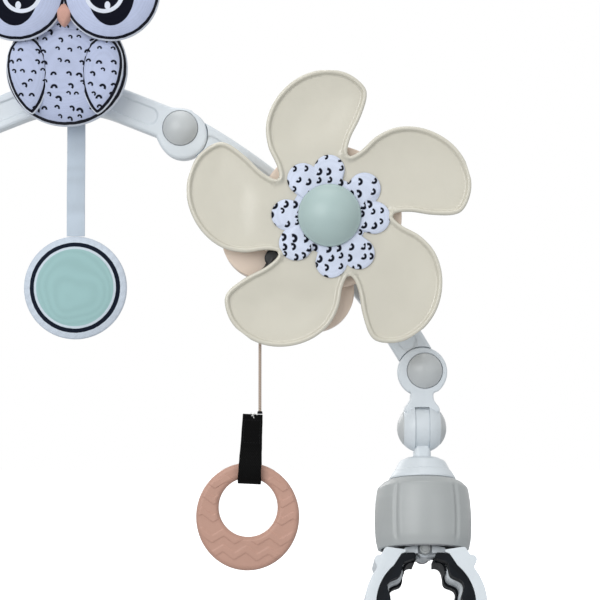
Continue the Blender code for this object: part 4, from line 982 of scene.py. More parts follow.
def knob_profile():
    """The hollow knob's section, its long spans cut short for the grooves."""
    outer = [(0.0186, KNOB_TOP), (0.0215, KNOB_TOP - 0.0014), (0.0245, KNOB_TOP - 0.0042)]
    for down, wide in ((0.16, 0.951), (0.3, 0.98), (0.46, 0.996), (0.6, 1.0), (0.74, 0.995),
                       (0.87, 0.982)):
        outer.append((KNOB_RADIUS * wide, KNOB_TOP - KNOB_HEIGHT * down))
    inner = [(0.0246, KNOB_RIM), (0.0229, KNOB_RIM), (0.0229, KNOB_TOP - 0.013),
             (0.0187, KNOB_TOP - 0.0046), (0.0088, KNOB_TOP - 0.0046), (0.0088, KNOB_TOP)]
    sizes = [0.0006, 0.003, 0.004] + [0.02] * 6 + [0.0007, 0.0005, 0.001, 0.001, 0, 0]
    profile = fillet(outer + inner, sizes, 6, closed=True)
    finer = []
    for point, after in zip(profile, profile[1:] + profile[:1]):
        parts = max(1, int(math.dist(point, after) / 0.0012))
        finer += [tuple(Vector(point).lerp(Vector(after), i / parts)) for i in range(parts)]
    return finer


def groove_depth(angle, radius):
    """How deep the knob's soft grooves and their raised borders are at an angle."""
    sunk = 0.0
    for groove in GROOVES:
        off = (math.degrees(angle) - (groove - 90) + 180) % 360 - 180
        away = abs(math.radians(off)) * radius
        sunk += 0.00085 * math.exp(-((away / 0.0011) ** 2))
        sunk -= 0.00018 * math.exp(-(((away - 0.0024) / 0.001) ** 2))
    return sunk


def make_knob(name, at):
    """A hollow knob whose grips end in four long soft grooves."""
    rows = []
    for radius, height in knob_profile():
        down = (KNOB_TOP - height) / KNOB_HEIGHT
        fade = smooth_step(down, 0.07, 0.16) * (1 - smooth_step(down, 0.84, 0.95))
        fade *= smooth_step(radius, 0.0237, 0.0243)
        row = []
        for k in range(KNOB_STEPS):
            angle = math.tau * k / KNOB_STEPS
            reach = radius - groove_depth(angle, radius) * fade
            row.append(at @ Vector((reach * math.cos(angle), reach * math.sin(angle), height)))
        rows.append(row)
    knob = grid_piece(f"{name}_knob_shell", rows, around=True, closed=True)
    dress(knob, f"{name}_knob", "grey_plastic", GREY, f"{name}_knob")
    inner, outer = THRUST_RADII
    top = KNOB_RIM + THRUST_HEIGHT
    profile = [(inner, top), (outer, top), (outer, KNOB_RIM), (inner, KNOB_RIM)]
    ring = lathe(f"{name}_thrust_shell", fillet(profile, 0.0003, 2, True), at, ring=True)
    dress(ring, f"{name}_thrust", "steel", STEEL, f"{name}_thrust_ring")


def jaw_outline():
    rim = GRIP_DROP + KNOB_RIM
    slope = math.tan(math.radians(8))
    start, edge, lug = 0.0105, 0.0212, 0.0274
    points = [(start, rim - 0.0038 + start * slope), (edge, rim - 0.0038 + edge * slope)]
    for across, up in ((0.86, 0.955), (0.96, 0.935), (1.0, 0.87), (0.975, 0.79), (0.93, 0.71)):
        points.append((lug * across, lug * up))
    points.append((JAW_RADIUS * 0.885, JAW_RADIUS * 0.46))
    claw = arc((0, 0), JAW_RADIUS, 18, -50, 48)
    tip = arc((0, 0), JAW_INNER, -50, 50, 60) + [(0.0127, 0.0266), (start, 0.0273)]
    sizes = [0] + [0.002] * 6 + [0.006, 0.01]
    sizes += [0] * 46 + [0.0016, 0.0016] + [0] * 58 + [0.003, 0, 0]
    return fillet(points + claw + tip, sizes, 6, closed=True)


def pad_outline():
    outer = arc((0, 0), PAD_RADIUS, -47, 50, 54)
    outer += [(0.0132, 0.0258), (0.0094, 0.0271), (0.0054, 0.0271)]
    sizes = [0.0014] + [0] * 52 + [0.003, 0.0035, 0.0035, 0.0012]
    sizes += [0.002] + [0] * 89 + [0.0014]
    return fillet(outer + wavy(-47, 0), sizes, 5, closed=True)


def wavy(low, back):
    """The pad's wavy gripping line from its upper end down, moved back where the jaw closes."""
    line = []
    for k in range(91):
        angle = PAD_TOP - (PAD_TOP - low) * k / 90
        wave = math.cos(math.tau * (angle - 47) / WAVE_ANGLE)
        radius = 0.019 - 0.0012 * wave + 0.0054 * smooth_step(angle, 50, 76)
        radius = min(radius + back * smooth_step(angle, low, low + 30), 0.0248)
        direction = math.radians(angle)
        line.append((radius * math.cos(direction), radius * math.sin(direction)))
    return line


def make_jaw(name, at, way):
    """A jaw and its pad. Way is 1 for the outer jaw and -1 for the inner one."""
    label = f"{name}_{'outer' if way > 0 else 'inner'}"
    turn = way if name == "right" else -way

    def plate(part, outline, front, back, rounding, steps):
        lowered = [(turn * x, z - GRIP_DROP) for x, z in outline]
        return slab(part, lowered, front, back, rounding, at, steps)

    jaw = plate("jaw", jaw_outline(), -JAW_DEPTH, JAW_DEPTH, 0.0011, 4)
    front, back = KNUCKLE_GAP, KNUCKLE_GAP + KNUCKLE_DEPTH
    if way > 0:
        front, back = -back, -front
    hook = arc((0, LUG_Z), LUG_RADIUS, 75, 300, 40)
    hook += [(0.0092, 0.0258), (0.0125, 0.0256), (0.0155, 0.026576)]
    knuckle = plate("knuckle", hook, front, back, 0.0004, 2)
    web = [(0.0036, 0.0275), (0.011, 0.0275), (0.011, 0.0305), (0.0036, 0.0318)]
    web = fillet(web, 0.0008, 3, closed=True)
    webs = [plate("web", web, low, low + 0.0026, 0.0003, 2) for low in (-0.0152, 0.0126)]
    wall = arc((0, 0), 0.0266, -20, 76, 40) + wavy(-20, 0.0013)
    wall = plate("wall", wall, -WALL_HALF, WALL_HALF, 0.0002, 2)
    piece = joined(f"{label}_jaw_shell", jaw, knuckle, wall, *webs)
    dress(piece, f"{label}_jaw", "white_plastic", WHITE, f"{label}_jaw")
    pad = plate(f"{label}_pad_shell", pad_outline(), -JAW_DEPTH, JAW_DEPTH, 0.0005, 2)
    window = arc((0, 0), 0.03, -36, 58, 12) + [(0, 0)]
    room = plate("window", window, -0.009, 0.009, 0, 4)
    trim = plate("trim", [(0, 0)] + wavy(-5, 0.0026), -0.03, -WALL_HALF, 0, 4)
    change(pad, [room, trim])
    dress(pad, f"{label}_jaw", "black_rubber", RUBBER, f"{label}_pad")


def make_clamp(name, side):
    """A clamp's core, knob and jaws, and the pin and spring between the jaws."""
    at = clamp_frame(side)
    make_core(name, at)
    make_knob(name, at)
    for way in (1, -1):
        make_jaw(name, at, way)
    half, radius = JAW_PIN_HALF, JAW_PIN_RADIUS
    profile = [(0, half), (0.0017, half), (0.0019, half - 0.0005), (0.0026, half - 0.0005),
               (radius, half - 0.001), (radius, -half), (0, -half)]
    pin = lathe(f"{name}_jaw_pin_shell", profile, at @ facing((0, 0, PIN_Z), "front"), 48)
    dress(pin, f"{name}_clamp", "grey_plastic", GREY, f"{name}_jaw_pin")
    points = []
    for k in range(SPRING_STEPS + 1):
        share = k / SPRING_STEPS
        angle = math.tau * SPRING_TURNS * share
        points.append(at @ Vector((SPRING_RADIUS * math.cos(angle), 0.0126 + 0.0045 * share,
                                   PIN_Z + SPRING_RADIUS * math.sin(angle))))
    spring = wire(f"{name}_jaw_spring_coil", points, 0.0005)
    dress(spring, f"{name}_clamp", "steel", STEEL, f"{name}_jaw_spring")


# Casing and flower

def off_hub(x, z):
    return (HUB[0] + x, HUB[1] + z)


# The casing's lobes: centre and radius
CASING_ROUNDS = ((off_hub(-0.002, -0.0018), 0.036), (off_hub(-0.0361, -0.0111), 0.022),
                 (off_hub(-0.0081, -0.0402), 0.0215))
SCREWS = ((0.118237, 0.221656), (0.155065, 0.18502))
CORD_TOP = 0.176052
CORD_END = 0.104452
STRAP_TOP = 0.104152
GUIDE = (0.112001, 0.187752)
CASING_BACK = -0.0063
CASING_SEAM = -0.0093
CASING_FRONT = -0.024
COLLAR_FRONT = -0.0285
COLLAR_RADIUS = 0.039
COLLAR_HEIGHT = 0.0042
NOTCH_RADIUS = 0.0049
GUIDE_RADIUS = 0.0046
SPOUT_RADIUS = 0.0024
AXLE_HOLE = 0.0033
PETAL_REAR = -0.0305
CLOTH_REAR = -0.033
DOME_REAR = -0.0359
DOME_RADIUS = 0.0169
DOME_HEIGHT = 0.0095


def casing_outline():
    """The lobes' outline, blended where they meet."""
    middle = [sum(centre[k] for centre, _ in CASING_ROUNDS) / 3 for k in (0, 1)]
    points = []
    count = 220
    for k in range(count):
        angle = math.tau * k / count
        across, up = math.cos(angle), math.sin(angle)
        reach = 0.0
        for centre, radius in CASING_ROUNDS:
            off_x, off_z = centre[0] - middle[0], centre[1] - middle[1]
            along = off_x * across + off_z * up
            inside = radius**2 - off_x**2 - off_z**2 + along**2
            if inside > 0:
                reach = smooth_max(reach, along + math.sqrt(inside), 0.004)
        points.append((middle[0] + across * reach, middle[1] + up * reach))
    return points


def make_casing():
    """Front and back halves, the collar behind the petals and two screws through the arm."""
    outline = casing_outline()
    shell = slab("casing_shell", outline, CASING_FRONT, CASING_SEAM - GAP, 0.0022, steps=6)
    dress(shell, "right_arm", "casing_plastic", CASING, "casing_front")
    lid = slab("casing_lid", outline, CASING_SEAM, CASING_BACK, 0.0009, steps=3)
    dress(lid, "right_arm", "casing_plastic", CASING, "casing_back")
    profile = [(AXLE_HOLE, COLLAR_HEIGHT), (COLLAR_RADIUS, COLLAR_HEIGHT), (COLLAR_RADIUS, 0),
               (AXLE_HOLE, 0)]
    profile = fillet(profile, [0, 0.0014, 0.0005, 0], 5, True)
    at = facing(arch(HUB[0], CASING_FRONT - GAP, HUB[1]), "front")
    collar = lathe("collar_shell", profile, at, 144, ring=True)
    place = arch(GUIDE[0], 0, GUIDE[1])
    change(collar, [drum("notch", place, NOTCH_RADIUS, COLLAR_FRONT - OVERRUN,
                         CASING_FRONT + 0.001)])
    dress(collar, "right_arm", "casing_plastic", CASING, "spinner_collar")
    profile = [(0, 0.0016), (0.0012, 0.00155), (0.0024, 0.0012), (0.003, 0.0006), (0.003, 0),
               (0.0015, 0), (0.0015, -0.012), (0, -0.012)]
    for number, place in enumerate(SCREWS, 1):
        at = facing(arch(place[0], HALF + GAP, place[1]), "back")
        screw = lathe(f"casing_screw_{number}_shown", profile, at, 48)
        change(screw, [box_piece("cross", (-wide, -high, 0.0009), (wide, high, 0.003), at)
                       for wide, high in ((0.0016, 0.00026), (0.00026, 0.0016))])
        dress(screw, "right_arm", "steel", STEEL, f"casing_screw_{number}")


# One petal's outline from valley to valley: share of its reach, and degrees off its middle
PETAL_TABLE = (
    (0.432, -52.6), (0.5, -46), (0.63, -41.4), (0.755, -35), (0.855, -27), (0.93, -18.6),
    (0.98, -10.2), (1.0, -1.6), (0.984, 6.8), (0.925, 14.3), (0.85, 17.4), (0.7, 17.4),
    (0.56, 15.2), (0.46, 15.4),
)
PETALS = 5
PETAL_REACH = 0.0788


def petal_edge():
    """The flower's smooth outline about its hub."""
    points = []
    for petal in range(PETALS):
        for reach, lean in PETAL_TABLE:
            angle = math.radians(90 - lean - 360 / PETALS * petal)
            radius = PETAL_REACH * reach
            points.append((radius * math.cos(angle), radius * math.sin(angle)))
    return closed_curve(points, 8)


def petal_sides(edge):
    """One petal's radii from its root to its tip, with the lean of its two edges at each."""
    chain = [(math.hypot(x, z), math.atan2(x, z)) for x, z in edge[: len(edge) // PETALS + 1]]
    tip = max(range(len(chain)), key=lambda k: chain[k][0])
    sides = []
    for side in (chain[: tip + 1], chain[tip:][::-1]):
        reach = np.maximum.accumulate([radius for radius, _ in side])
        sides.append((reach, np.array([lean for _, lean in side])))
    radii = []
    for radius in sorted(set(np.concatenate([sides[0][0], sides[1][0]]))):
        if not radii or radius - radii[-1] > (0.0001 if radius < radii[0] + 0.0012 else 0.0003):
            radii.append(float(radius))
    left, right = [np.interp(radii, *side) for side in sides]
    right[-1] = left[-1]
    return np.array(radii), left, right


def petal_leans(radii, left, right):
    """For each radius, leans across the petal, close together beside its slanting edges."""
    near = np.array([0, 0.1, 0.3, 0.6, 0.95, 1.35, 1.75, 2.1, 2.4, 2.7, 3.0, 3.4, 4.0]) / 1000
    slants = []
    for lean in (left, right):
        slope = np.abs(np.gradient(lean, radii)) * radii
        slope = np.convolve(np.pad(slope, 3, "edge"), np.ones(7) / 7, "valid")
        slants.append(np.minimum(np.sqrt(1 + slope**2), 4.0))
    rows = []
    for k, radius in enumerate(radii):
        width = (right[k] - left[k]) * radius
        ends = [near * min(slant[k], 0.46 * width / near[-1]) for slant in slants]
        middle = np.linspace(ends[0][-1], width - ends[1][-1], 26)[1:-1]
        across = np.concatenate([ends[0], middle, width - ends[1][::-1]])
        rows.append(left[k] + across / radius)
    return np.array(rows)


def petal_height(inside, radius):
    """How far the front stands before the back, by distance inside the edge."""
    lip, floor = 0.0044, 0.0022
    dip = 0.0007 * smooth_step(inside, 0.003, 0.017) * smooth_step(radius, 0.036, 0.05)
    crown = 0.00012 * ((inside - 0.0013) / 0.0013) ** 2 if inside < 0.0026 else 0.00012
    level = lip - edge_drop(inside, 0.0011) - crown
    return level + (floor - dip - level) * smooth_step(inside, 0.0016, 0.0031)


def make_petals():
    """One moulding. Each petal is a shallow dish inside a raised rounded lip."""
    edge = petal_edge()
    radii, left, right = petal_sides(edge)
    leans = petal_leans(radii, left, right)
    inner = [AXLE_HOLE, 0.009, 0.015, 0.02, 0.024, 0.027, 0.029, 0.0305, 0.0317, 0.0326, 0.0333]
    inner = [radius for radius in inner if radius < radii[0] - 0.0003]
    radii = np.concatenate([inner, radii])
    leans = np.vstack([np.tile(leans[0], (len(inner), 1)), leans])
    across, up = radii[:, None] * np.sin(leans), radii[:, None] * np.cos(leans)
    rows, columns = across.shape
    flat = np.stack([across, up], -1).reshape(-1, 2)
    inside = np.maximum(distance_to(edge, flat), 0).reshape(across.shape)
    fronts, backs = np.zeros(across.shape), np.zeros(across.shape)
    for i, radius in enumerate(radii):
        for j in range(columns):
            fronts[i, j] = PETAL_REAR - petal_height(inside[i, j], radius)
            backs[i, j] = PETAL_REAR - edge_drop(inside[i, j], 0.0008)
    points, faces = [], []
    for petal in range(PETALS):
        turn = math.tau / PETALS * petal
        cosine, sine = math.cos(turn), math.sin(turn)
        x = HUB[0] + across * cosine + up * sine
        z = HUB[1] - across * sine + up * cosine
        front, back = len(points), len(points) + rows * columns
        for start, depth in ((front, fronts), (back, backs)):
            points += list(np.stack([x, ARCH_Y + depth, z], -1).reshape(-1, 3))
            faces += grid_faces(rows, columns, first=start)
        for i in range(len(inner), rows - 1):
            for j in (0, columns - 1):
                a, b = i * columns + j, (i + 1) * columns + j
                faces.append((front + a, front + b, back + b, back + a))
        for j in range(columns - 1):
            faces.append((front + j, front + j + 1, back + j + 1, back + j))
    petals = piece_of("petals_moulding", points, faces, sharp=50)
    dress(petals, "flower", "cream_plastic", CREAM, "petals")


# The cloth flower's lobes about the hub: place and radius
CLOTH_LOBES = (
    (-0.0001, 0.0245, 0.0083), (-0.0141, 0.0197, 0.0086), (-0.0229, 0.0005, 0.0083),
    (-0.0179, -0.0149, 0.0092), (0.0009, -0.0249, 0.0085), (0.0156, -0.0202, 0.0086),
    (0.0238, -0.001, 0.0088), (0.0187, 0.0144, 0.0088),
)
CLOTH_MIDDLE = 0.0205
CLOTH_HOLE = 0.0075
CLOTH_THIN, CLOTH_THICK = 0.0006, 0.0026
CLOTH_STEPS = 360
VALLEY_SPAN = 9


def lobe_reach(angle):
    """How far the cloth flower reaches from the hub in a direction."""
    reach = CLOTH_MIDDLE
    across, up = math.cos(angle), math.sin(angle)
    for x, z, radius in CLOTH_LOBES:
        along = x * across + z * up
        inside = radius**2 - (x * x + z * z - along**2)
        if inside > 0 and along > 0:
            reach = smooth_max(reach, along + math.sqrt(inside), 0.0008)
    return reach


def make_fabric_flower():
    """A stuffed ring of eight lobes, puffed in front, flat behind and drawn in between lobes."""
    shares = [0, 0.2, 0.36, 0.48, 0.58, 0.67, 0.75, 0.82, 0.88, 0.925, 0.955, 0.975, 0.99, 1.0]
    reaches = [lobe_reach(math.tau * k / CLOTH_STEPS) for k in range(CLOTH_STEPS)]
    dents = [0.0] * CLOTH_STEPS
    for k in range(VALLEY_SPAN, CLOTH_STEPS - VALLEY_SPAN):
        beside = (reaches[k - VALLEY_SPAN] + reaches[k + VALLEY_SPAN]) / 2
        dents[k] = max(beside - reaches[k], 0)
    fronts, backs = [], []
    for share in shares:
        puff = (1 - share**4.5) ** 0.6
        flat = CLOTH_REAR - 0.0003 * smooth_step(share, 0.9, 1.0)
        front, back = [], []
        for k in range(CLOTH_STEPS):
            reach, dent = reaches[k], dents[k]
            angle = math.tau * k / CLOTH_STEPS
            radius = CLOTH_HOLE + (reach - CLOTH_HOLE) * share
            x, z = radius * math.cos(angle), radius * math.sin(angle)
            held = smooth_step(radius, 0.0155, 0.0215)
            rise = CLOTH_THIN + (CLOTH_THICK - CLOTH_THIN) * puff * (0.7 + 0.3 * held)
            rise -= min(dent * 0.5, 0.0007) * smooth_step(share, 0.55, 0.95)
            rise += 0.00025 * noise.noise(Vector((x * 90, z * 90, 3))) * puff
            front.append(arch(HUB[0] + x, CLOTH_REAR - rise, HUB[1] + z))
            back.append(arch(HUB[0] + x, flat, HUB[1] + z))
        fronts.append(front)
        backs.append(back)
    rows = fronts + backs[::-1]
    flower = grid_piece("cloth_flower", rows, around=True, closed=True, sharp=60)
    dress(flower, "flower", "white_cloth", CLOTH, "fabric_flower")


def make_hub():
    profile = dome(DOME_RADIUS, DOME_HEIGHT, 0.0, count=26, lip=0.0012)
    at = facing(arch(HUB[0], DOME_REAR, HUB[1]), "front")
    dress(lathe("hub_dome_shown", profile, at, 160), "flower", "mint_plastic", MINT, "hub_dome")


def make_guide():
    """The cord's guide: a boss in the collar's notch and a spout that turns down to its exit."""
    size = GUIDE_RADIUS
    profile = fillet([(0, size), (size, size), (size, 0), (0, 0)], [0, 0.0014, 0.0003, 0], 6)
    at = facing(arch(GUIDE[0], CASING_FRONT - GAP, GUIDE[1]), "front")
    boss = lathe("boss", profile, at, 64)
    route = []
    for along, down in ((0, 0), (0.35, 0.45), (0.75, 0.75), (1, 0.93), (1, 1)):
        x = GUIDE[0] + (CORD_EXIT[0] - GUIDE[0]) * along
        route.append(arch(x, CORD_Y, GUIDE[1] + (CORD_EXIT[1] - GUIDE[1]) * down))
    spout = wire("spout", smooth_path(route), SPOUT_RADIUS, 8)
    profile = [(0.0011, 0.001), (0.0027, 0.001), (0.0027, -0.0002), (0.0011, -0.0002)]
    at = Matrix.Translation(arch(CORD_EXIT[0], CORD_Y, CORD_EXIT[1]))
    lip = lathe("lip", fillet(profile, 0.0004, 3, True), at, 40, ring=True)
    guide = joined("cord_guide_shown", boss, spout, lip)
    dress(guide, "right_arm", "black_rubber", GUIDE_PAINT, "cord_guide")


# Cord, strap and ring

CORD_RADIUS = 0.0008
STRAP_SHIFT = -0.0038
STRAP_TILT = math.radians(2.8)
STRAP_HALF = 0.0053
STRAP_HALF_THICK = 0.00052
STITCH = 0.0011
STITCH_STEP = 0.0016


def make_cord_set():
    """The free cord, and the strap and ring that hang from it."""
    place = arch(CORD_EXIT[0] + STRAP_SHIFT, CORD_Y, STRAP_TOP)
    strap_at = Matrix.Translation(place) @ Matrix.Rotation(STRAP_TILT, 4, "Y")
    top = arch(CORD_EXIT[0], CORD_Y, CORD_TOP)
    low = arch(CORD_EXIT[0], CORD_Y, CORD_END)
    route = [Vector(top).lerp(Vector(low), k / 15) for k in range(16)]
    cord = wire("cord_tube", smooth_path(route, 4), CORD_RADIUS, 6)
    cord.data.materials.append(CORD)
    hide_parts("pull_cord")
    fittings = [make_strap(strap_at), *make_strap_threads(strap_at)]
    make_ring(strap_at)
    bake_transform(cord)


def strap_route():
    """The strap's middle line seen from the side, down in front, round the ring, up behind."""
    band, loop, ply = -0.0303, 0.00665, 0.00062
    front = []
    for k in range(34):
        z = -0.0002 - 0.0301 * k / 33
        front.append((-(ply + (loop - ply) * smooth_step(-z, 0.0165, 0.0297)), z))
    turn = []
    for k in range(1, 30):
        angle = math.pi * k / 30
        turn.append((-loop * math.cos(angle), band - loop * math.sin(angle)))
    return front + turn + [(-y, z) for y, z in front[::-1]]


def make_strap(at):
    """Woven webbing along the route, a little wider towards the ring and not quite even."""
    route = strap_route()
    rows = []
    for k, (y, z) in enumerate(route):
        before, after = route[max(k - 1, 0)], route[min(k + 1, len(route) - 1)]
        along = (Vector(after) - Vector(before)).normalized()
        share = min(max(-z / 0.034, 0), 1)
        half = STRAP_HALF + 0.0009 * share + 0.00012 * noise.noise(Vector((z * 300, k * 0.02, 1)))
        lift = 0.00012 * noise.noise(Vector((z * 160, y * 200, 7)))
        bend = []
        for x, off in rounded_oblong(half, STRAP_HALF_THICK, 0.00035, 3):
            off += lift + 0.00018 * (x / half) ** 2
            bend.append(at @ Vector((x, y + along.y * off, z - along.x * off)))
        rows.append(bend)
    strap = grid_piece("strap_webbing", rows, around=True, caps=True, sharp=60)
    return dress(strap, "strap", "black_webbing", WEBBING, "pull_strap")


def threads_of(name, at, spots, rise, radius):
    """Short rounded threads from starts to ends, with a slight rise between."""
    points, faces = [], []
    rows, around = 9, 8
    rise = at.to_3x3() @ Vector(rise)
    for start, end in spots:
        start, end = at @ Vector(start), at @ Vector(end)
        along = (end - start).normalized()
        side = along.cross(rise).normalized()
        over = side.cross(along).normalized()
        first = len(points)
        for i in range(rows):
            share = i / (rows - 1)
            centre = start.lerp(end, share) + rise * math.sin(math.pi * share)
            size = radius * max(math.sin(math.pi * (0.06 + 0.88 * share)) ** 0.4, 0.2)
            for k in range(around):
                angle = math.tau * k / around
                points.append(centre + (side * math.cos(angle) + over * math.sin(angle)) * size)
        faces += grid_faces(rows, around, True, first=first) + end_faces(rows, around, first)
    return piece_of(name, points, faces)


def make_strap_threads(at):
    """The strap's seams, the loose thread ends at its top and the cord's whipping."""
    spots = []
    for z in (-0.0035, -0.0155):
        for k in range(6):
            x = -0.0041 + STITCH_STEP * k
            spots.append(((x, -0.0012, z), (x + STITCH, -0.0012, z)))
    for x in (-0.0043, 0.0043):
        for k in range(7):
            z = -0.0042 - STITCH_STEP * k
            spots.append(((x, -0.00125, z), (x, -0.00125, z - STITCH)))
    seam = threads_of("strap_seam", at, spots, (0, -0.00016, 0), 0.00016)
    spots = []
    for x, z, lean in ((-0.0014, -0.0004, 0.9), (-0.0004, -0.0002, -0.7), (0.0006, -0.0006, 1.1),
                       (0.0014, 0.0, -0.4), (-0.0009, -0.0011, 0.2), (0.0002, -0.0013, -1.0)):
        spots.append(((x, -0.0011, z),
                      (x + 0.0013 * math.cos(lean), -0.0014, z + 0.0013 * math.sin(lean))))
    loose = threads_of("strap_thread_ends", at, spots, (0, -0.0003, 0), 0.00022)
    profile = [(0.0007, 0.0012), (0.0013, 0.001), (0.00145, -0.0004), (0.0007, -0.0004)]
    knot = lathe("cord_whipping", fillet(profile, 0.0004, 3, True),
                 Matrix.Translation(arch(CORD_EXIT[0], CORD_Y, CORD_END)), 32, ring=True)
    return [dress(seam, "strap", "black_webbing", SEAM), dress(loose, "strap", "cord", THREAD),
            dress(knot, "strap", "black_webbing", SEAM)]


RING_WIDE, RING_HIGH = 0.0276, 0.0287
RING_HOLE = 0.0157
HOLE_Z, RIM_Z = -0.05, -0.055
RING_MARGIN = 0.0025
RING_HALF_THICK = 0.0032
RING_ROUNDING = 0.0026
RING_STEPS = 480
RING_ROWS = 34
STRIP_RISE = 0.0004
RING_STRIPS = ((-0.02115, -0.01735), (-0.01275, -0.00875), (-0.00175, 0.00205),
               (0.00765, 0.01145), (0.01625, 0.02005))


def ring_reach(angle):
    """From the hole's centre to the ring's rim, in a direction. The rim's centre is lower."""
    drop = HOLE_Z - RIM_Z
    across, up = math.cos(angle), math.sin(angle)
    a = (across / RING_WIDE) ** 2 + (up / RING_HIGH) ** 2
    b = 2 * up * drop / RING_HIGH**2
    c = (drop / RING_HIGH) ** 2 - 1
    return (-b + math.sqrt(b * b - 4 * a * c)) / (2 * a)


def strip_rise(x, z):
    """The zigzag strips' relief, about the ring's own centre."""
    period, swing, soft = 0.0122, 0.00195, 0.00022
    phase = abs((x / period) % 1.0 - 0.5) * 4 - 1
    level = z - swing * max(min(phase * 1.06, 0.93), -0.93)
    return max(smooth_step(min(level - low, high - level), -soft, soft)
               for low, high in RING_STRIPS)


def make_ring(at):
    """A flat moulding with rounded edges, its hole above its middle, with zigzag strips."""
    edge = [value * 0.62 for value in (0, 0.0004, 0.0011, 0.002, 0.003, 0.004)]
    spans = [(off, 0) for off in edge] + [(0, k / RING_ROWS) for k in range(1, RING_ROWS)]
    spans += [(-off, 1) for off in edge[::-1]]
    profile = [(-1, span) for span in spans] + [(1, span) for span in spans[::-1]]
    rows = []
    for face, (off, share) in profile:
        row = []
        for k in range(RING_STEPS):
            angle = math.tau * k / RING_STEPS
            reach = ring_reach(angle)
            start, end = RING_HOLE + RING_MARGIN, reach - RING_MARGIN
            if share in (0, 1):
                radius = (reach if share else RING_HOLE) + off
            else:
                radius = start + (end - start) * share
            near = min(radius - RING_HOLE, reach - radius)
            x, z = radius * math.cos(angle), HOLE_Z + radius * math.sin(angle)
            relief = strip_rise(x, z - RIM_Z) * smooth_step(near, 0.0007, 0.0018)
            depth = RING_HALF_THICK - edge_drop(near, RING_ROUNDING) + STRIP_RISE * (relief - 1)
            row.append(at @ Vector((x, face * depth, z)))
        rows.append(row)
    ring = grid_piece("pull_ring_moulding", rows, around=True, closed=True, sharp=70)
    dress(ring, "ring", "pink_silicone", SILICONE, "pull_ring")


# Soft bird and hanging disc

PILLOW_SHARES = (0.04, 0.12, 0.22, 0.32, 0.42, 0.51, 0.6, 0.68, 0.75, 0.81, 0.86, 0.9, 0.93,
                 0.955, 0.97, 0.985, 1.0)
SEAM_HALF = 0.0005


def pillow(name, place, half_depth, outline, lean=0.0, steps=168, puckers=26, seed=1):
    """Two stuffed faces that meet in a seam. Outline gives the rim's (x, z) at an angle."""
    angles = [math.tau * k / steps for k in range(steps)]
    rims = [outline(angle) for angle in angles]
    turn = Matrix.Rotation(lean, 4, "Y")
    faces = []
    for face in (-1, 1):
        rows = []
        for share in PILLOW_SHARES:
            puff = max(1 - share**2.5, 0) ** 0.52
            gather = smooth_step(share, 0.72, 0.93) * (1 - smooth_step(share, 0.955, 1.0))
            row = []
            for (x, z), angle in zip(rims, angles):
                wave = math.sin(angle * puckers + 1.7 * math.sin(angle * 3 + seed))
                lump = noise.noise(Vector((x * share * 55, z * share * 55, seed + face * 3)))
                depth = SEAM_HALF + (half_depth - SEAM_HALF) * puff
                depth += 0.0006 * lump * puff - 0.00045 * gather * (wave + 1) / 2
                local = turn @ Vector((x * share, 0, z * share))
                row.append(Vector(place) + local + Vector((0, face * depth, 0)))
            rows.append(row)
        faces.append(rows)
    flat = [(x * share, z * share) for share in PILLOW_SHARES for x, z in rims]
    inside = distance_to(rims, flat).reshape(-1, steps)
    return pillow_mesh(name, faces[0] + faces[1][::-1], np.vstack([inside, inside[::-1]]))


def pillow_mesh(name, rows, inside):
    """A closed cushion of rows, with each point's distance from the seam kept on it."""
    count = len(rows[0])
    faces = grid_faces(len(rows), count, around=True) + end_faces(len(rows), count)
    mesh = bpy.data.meshes.new(name)
    mesh.from_pydata([tuple(point) for row in rows for point in row], [], faces)
    rim = mesh.attributes.new("rim", "FLOAT", "POINT")
    rim.data.foreach_set("value", [float(value) for value in inside.flat])
    made = put_in_scene(name, mesh)
    with editing(mesh) as shape:
        bmesh.ops.poke(shape, faces=[face for face in shape.faces if len(face.verts) > 4])
        bmesh.ops.recalc_face_normals(shape, faces=shape.faces)
    mesh.shade_smooth()
    return made


def egg(wide, high, taper=0.0):
    """A rounded outline that is wider below by a taper."""
    def outline(angle):
        up = math.sin(angle)
        return wide * math.cos(angle) * (1 - taper * up), high * up
    return outline


def leaf(wide, high):
    """A wing's outline, round above and drawn to a soft point below."""
    def outline(angle):
        up = math.sin(angle)
        return wide * math.cos(angle) * (1 + up) ** 0.22 * 0.92, high * up
    return outline


BODY_Y = -0.0214
BODY_HALF = 0.0135
HEAD_Y = BODY_Y - BODY_HALF / 3
LOBE_Y = HEAD_Y - 0.0115
EYE_X, EYE_Z = 0.0252, APEX_Z + 0.0509
WING_Y = BODY_Y - BODY_HALF * 0.76


def stuffed(node, place, half_depth, outline, paint, firmness, **form):
    """A stuffed piece of the bird. Place is (x, depth, height above the bridge's top)."""
    x, depth, up = place
    name = node.replace("_lobe", "") + "_stuffed"
    made = pillow(name, arch(x, depth, APEX_Z + up), half_depth, outline, **form)
    dress(made, "bridge", "white_cloth", paint, node)


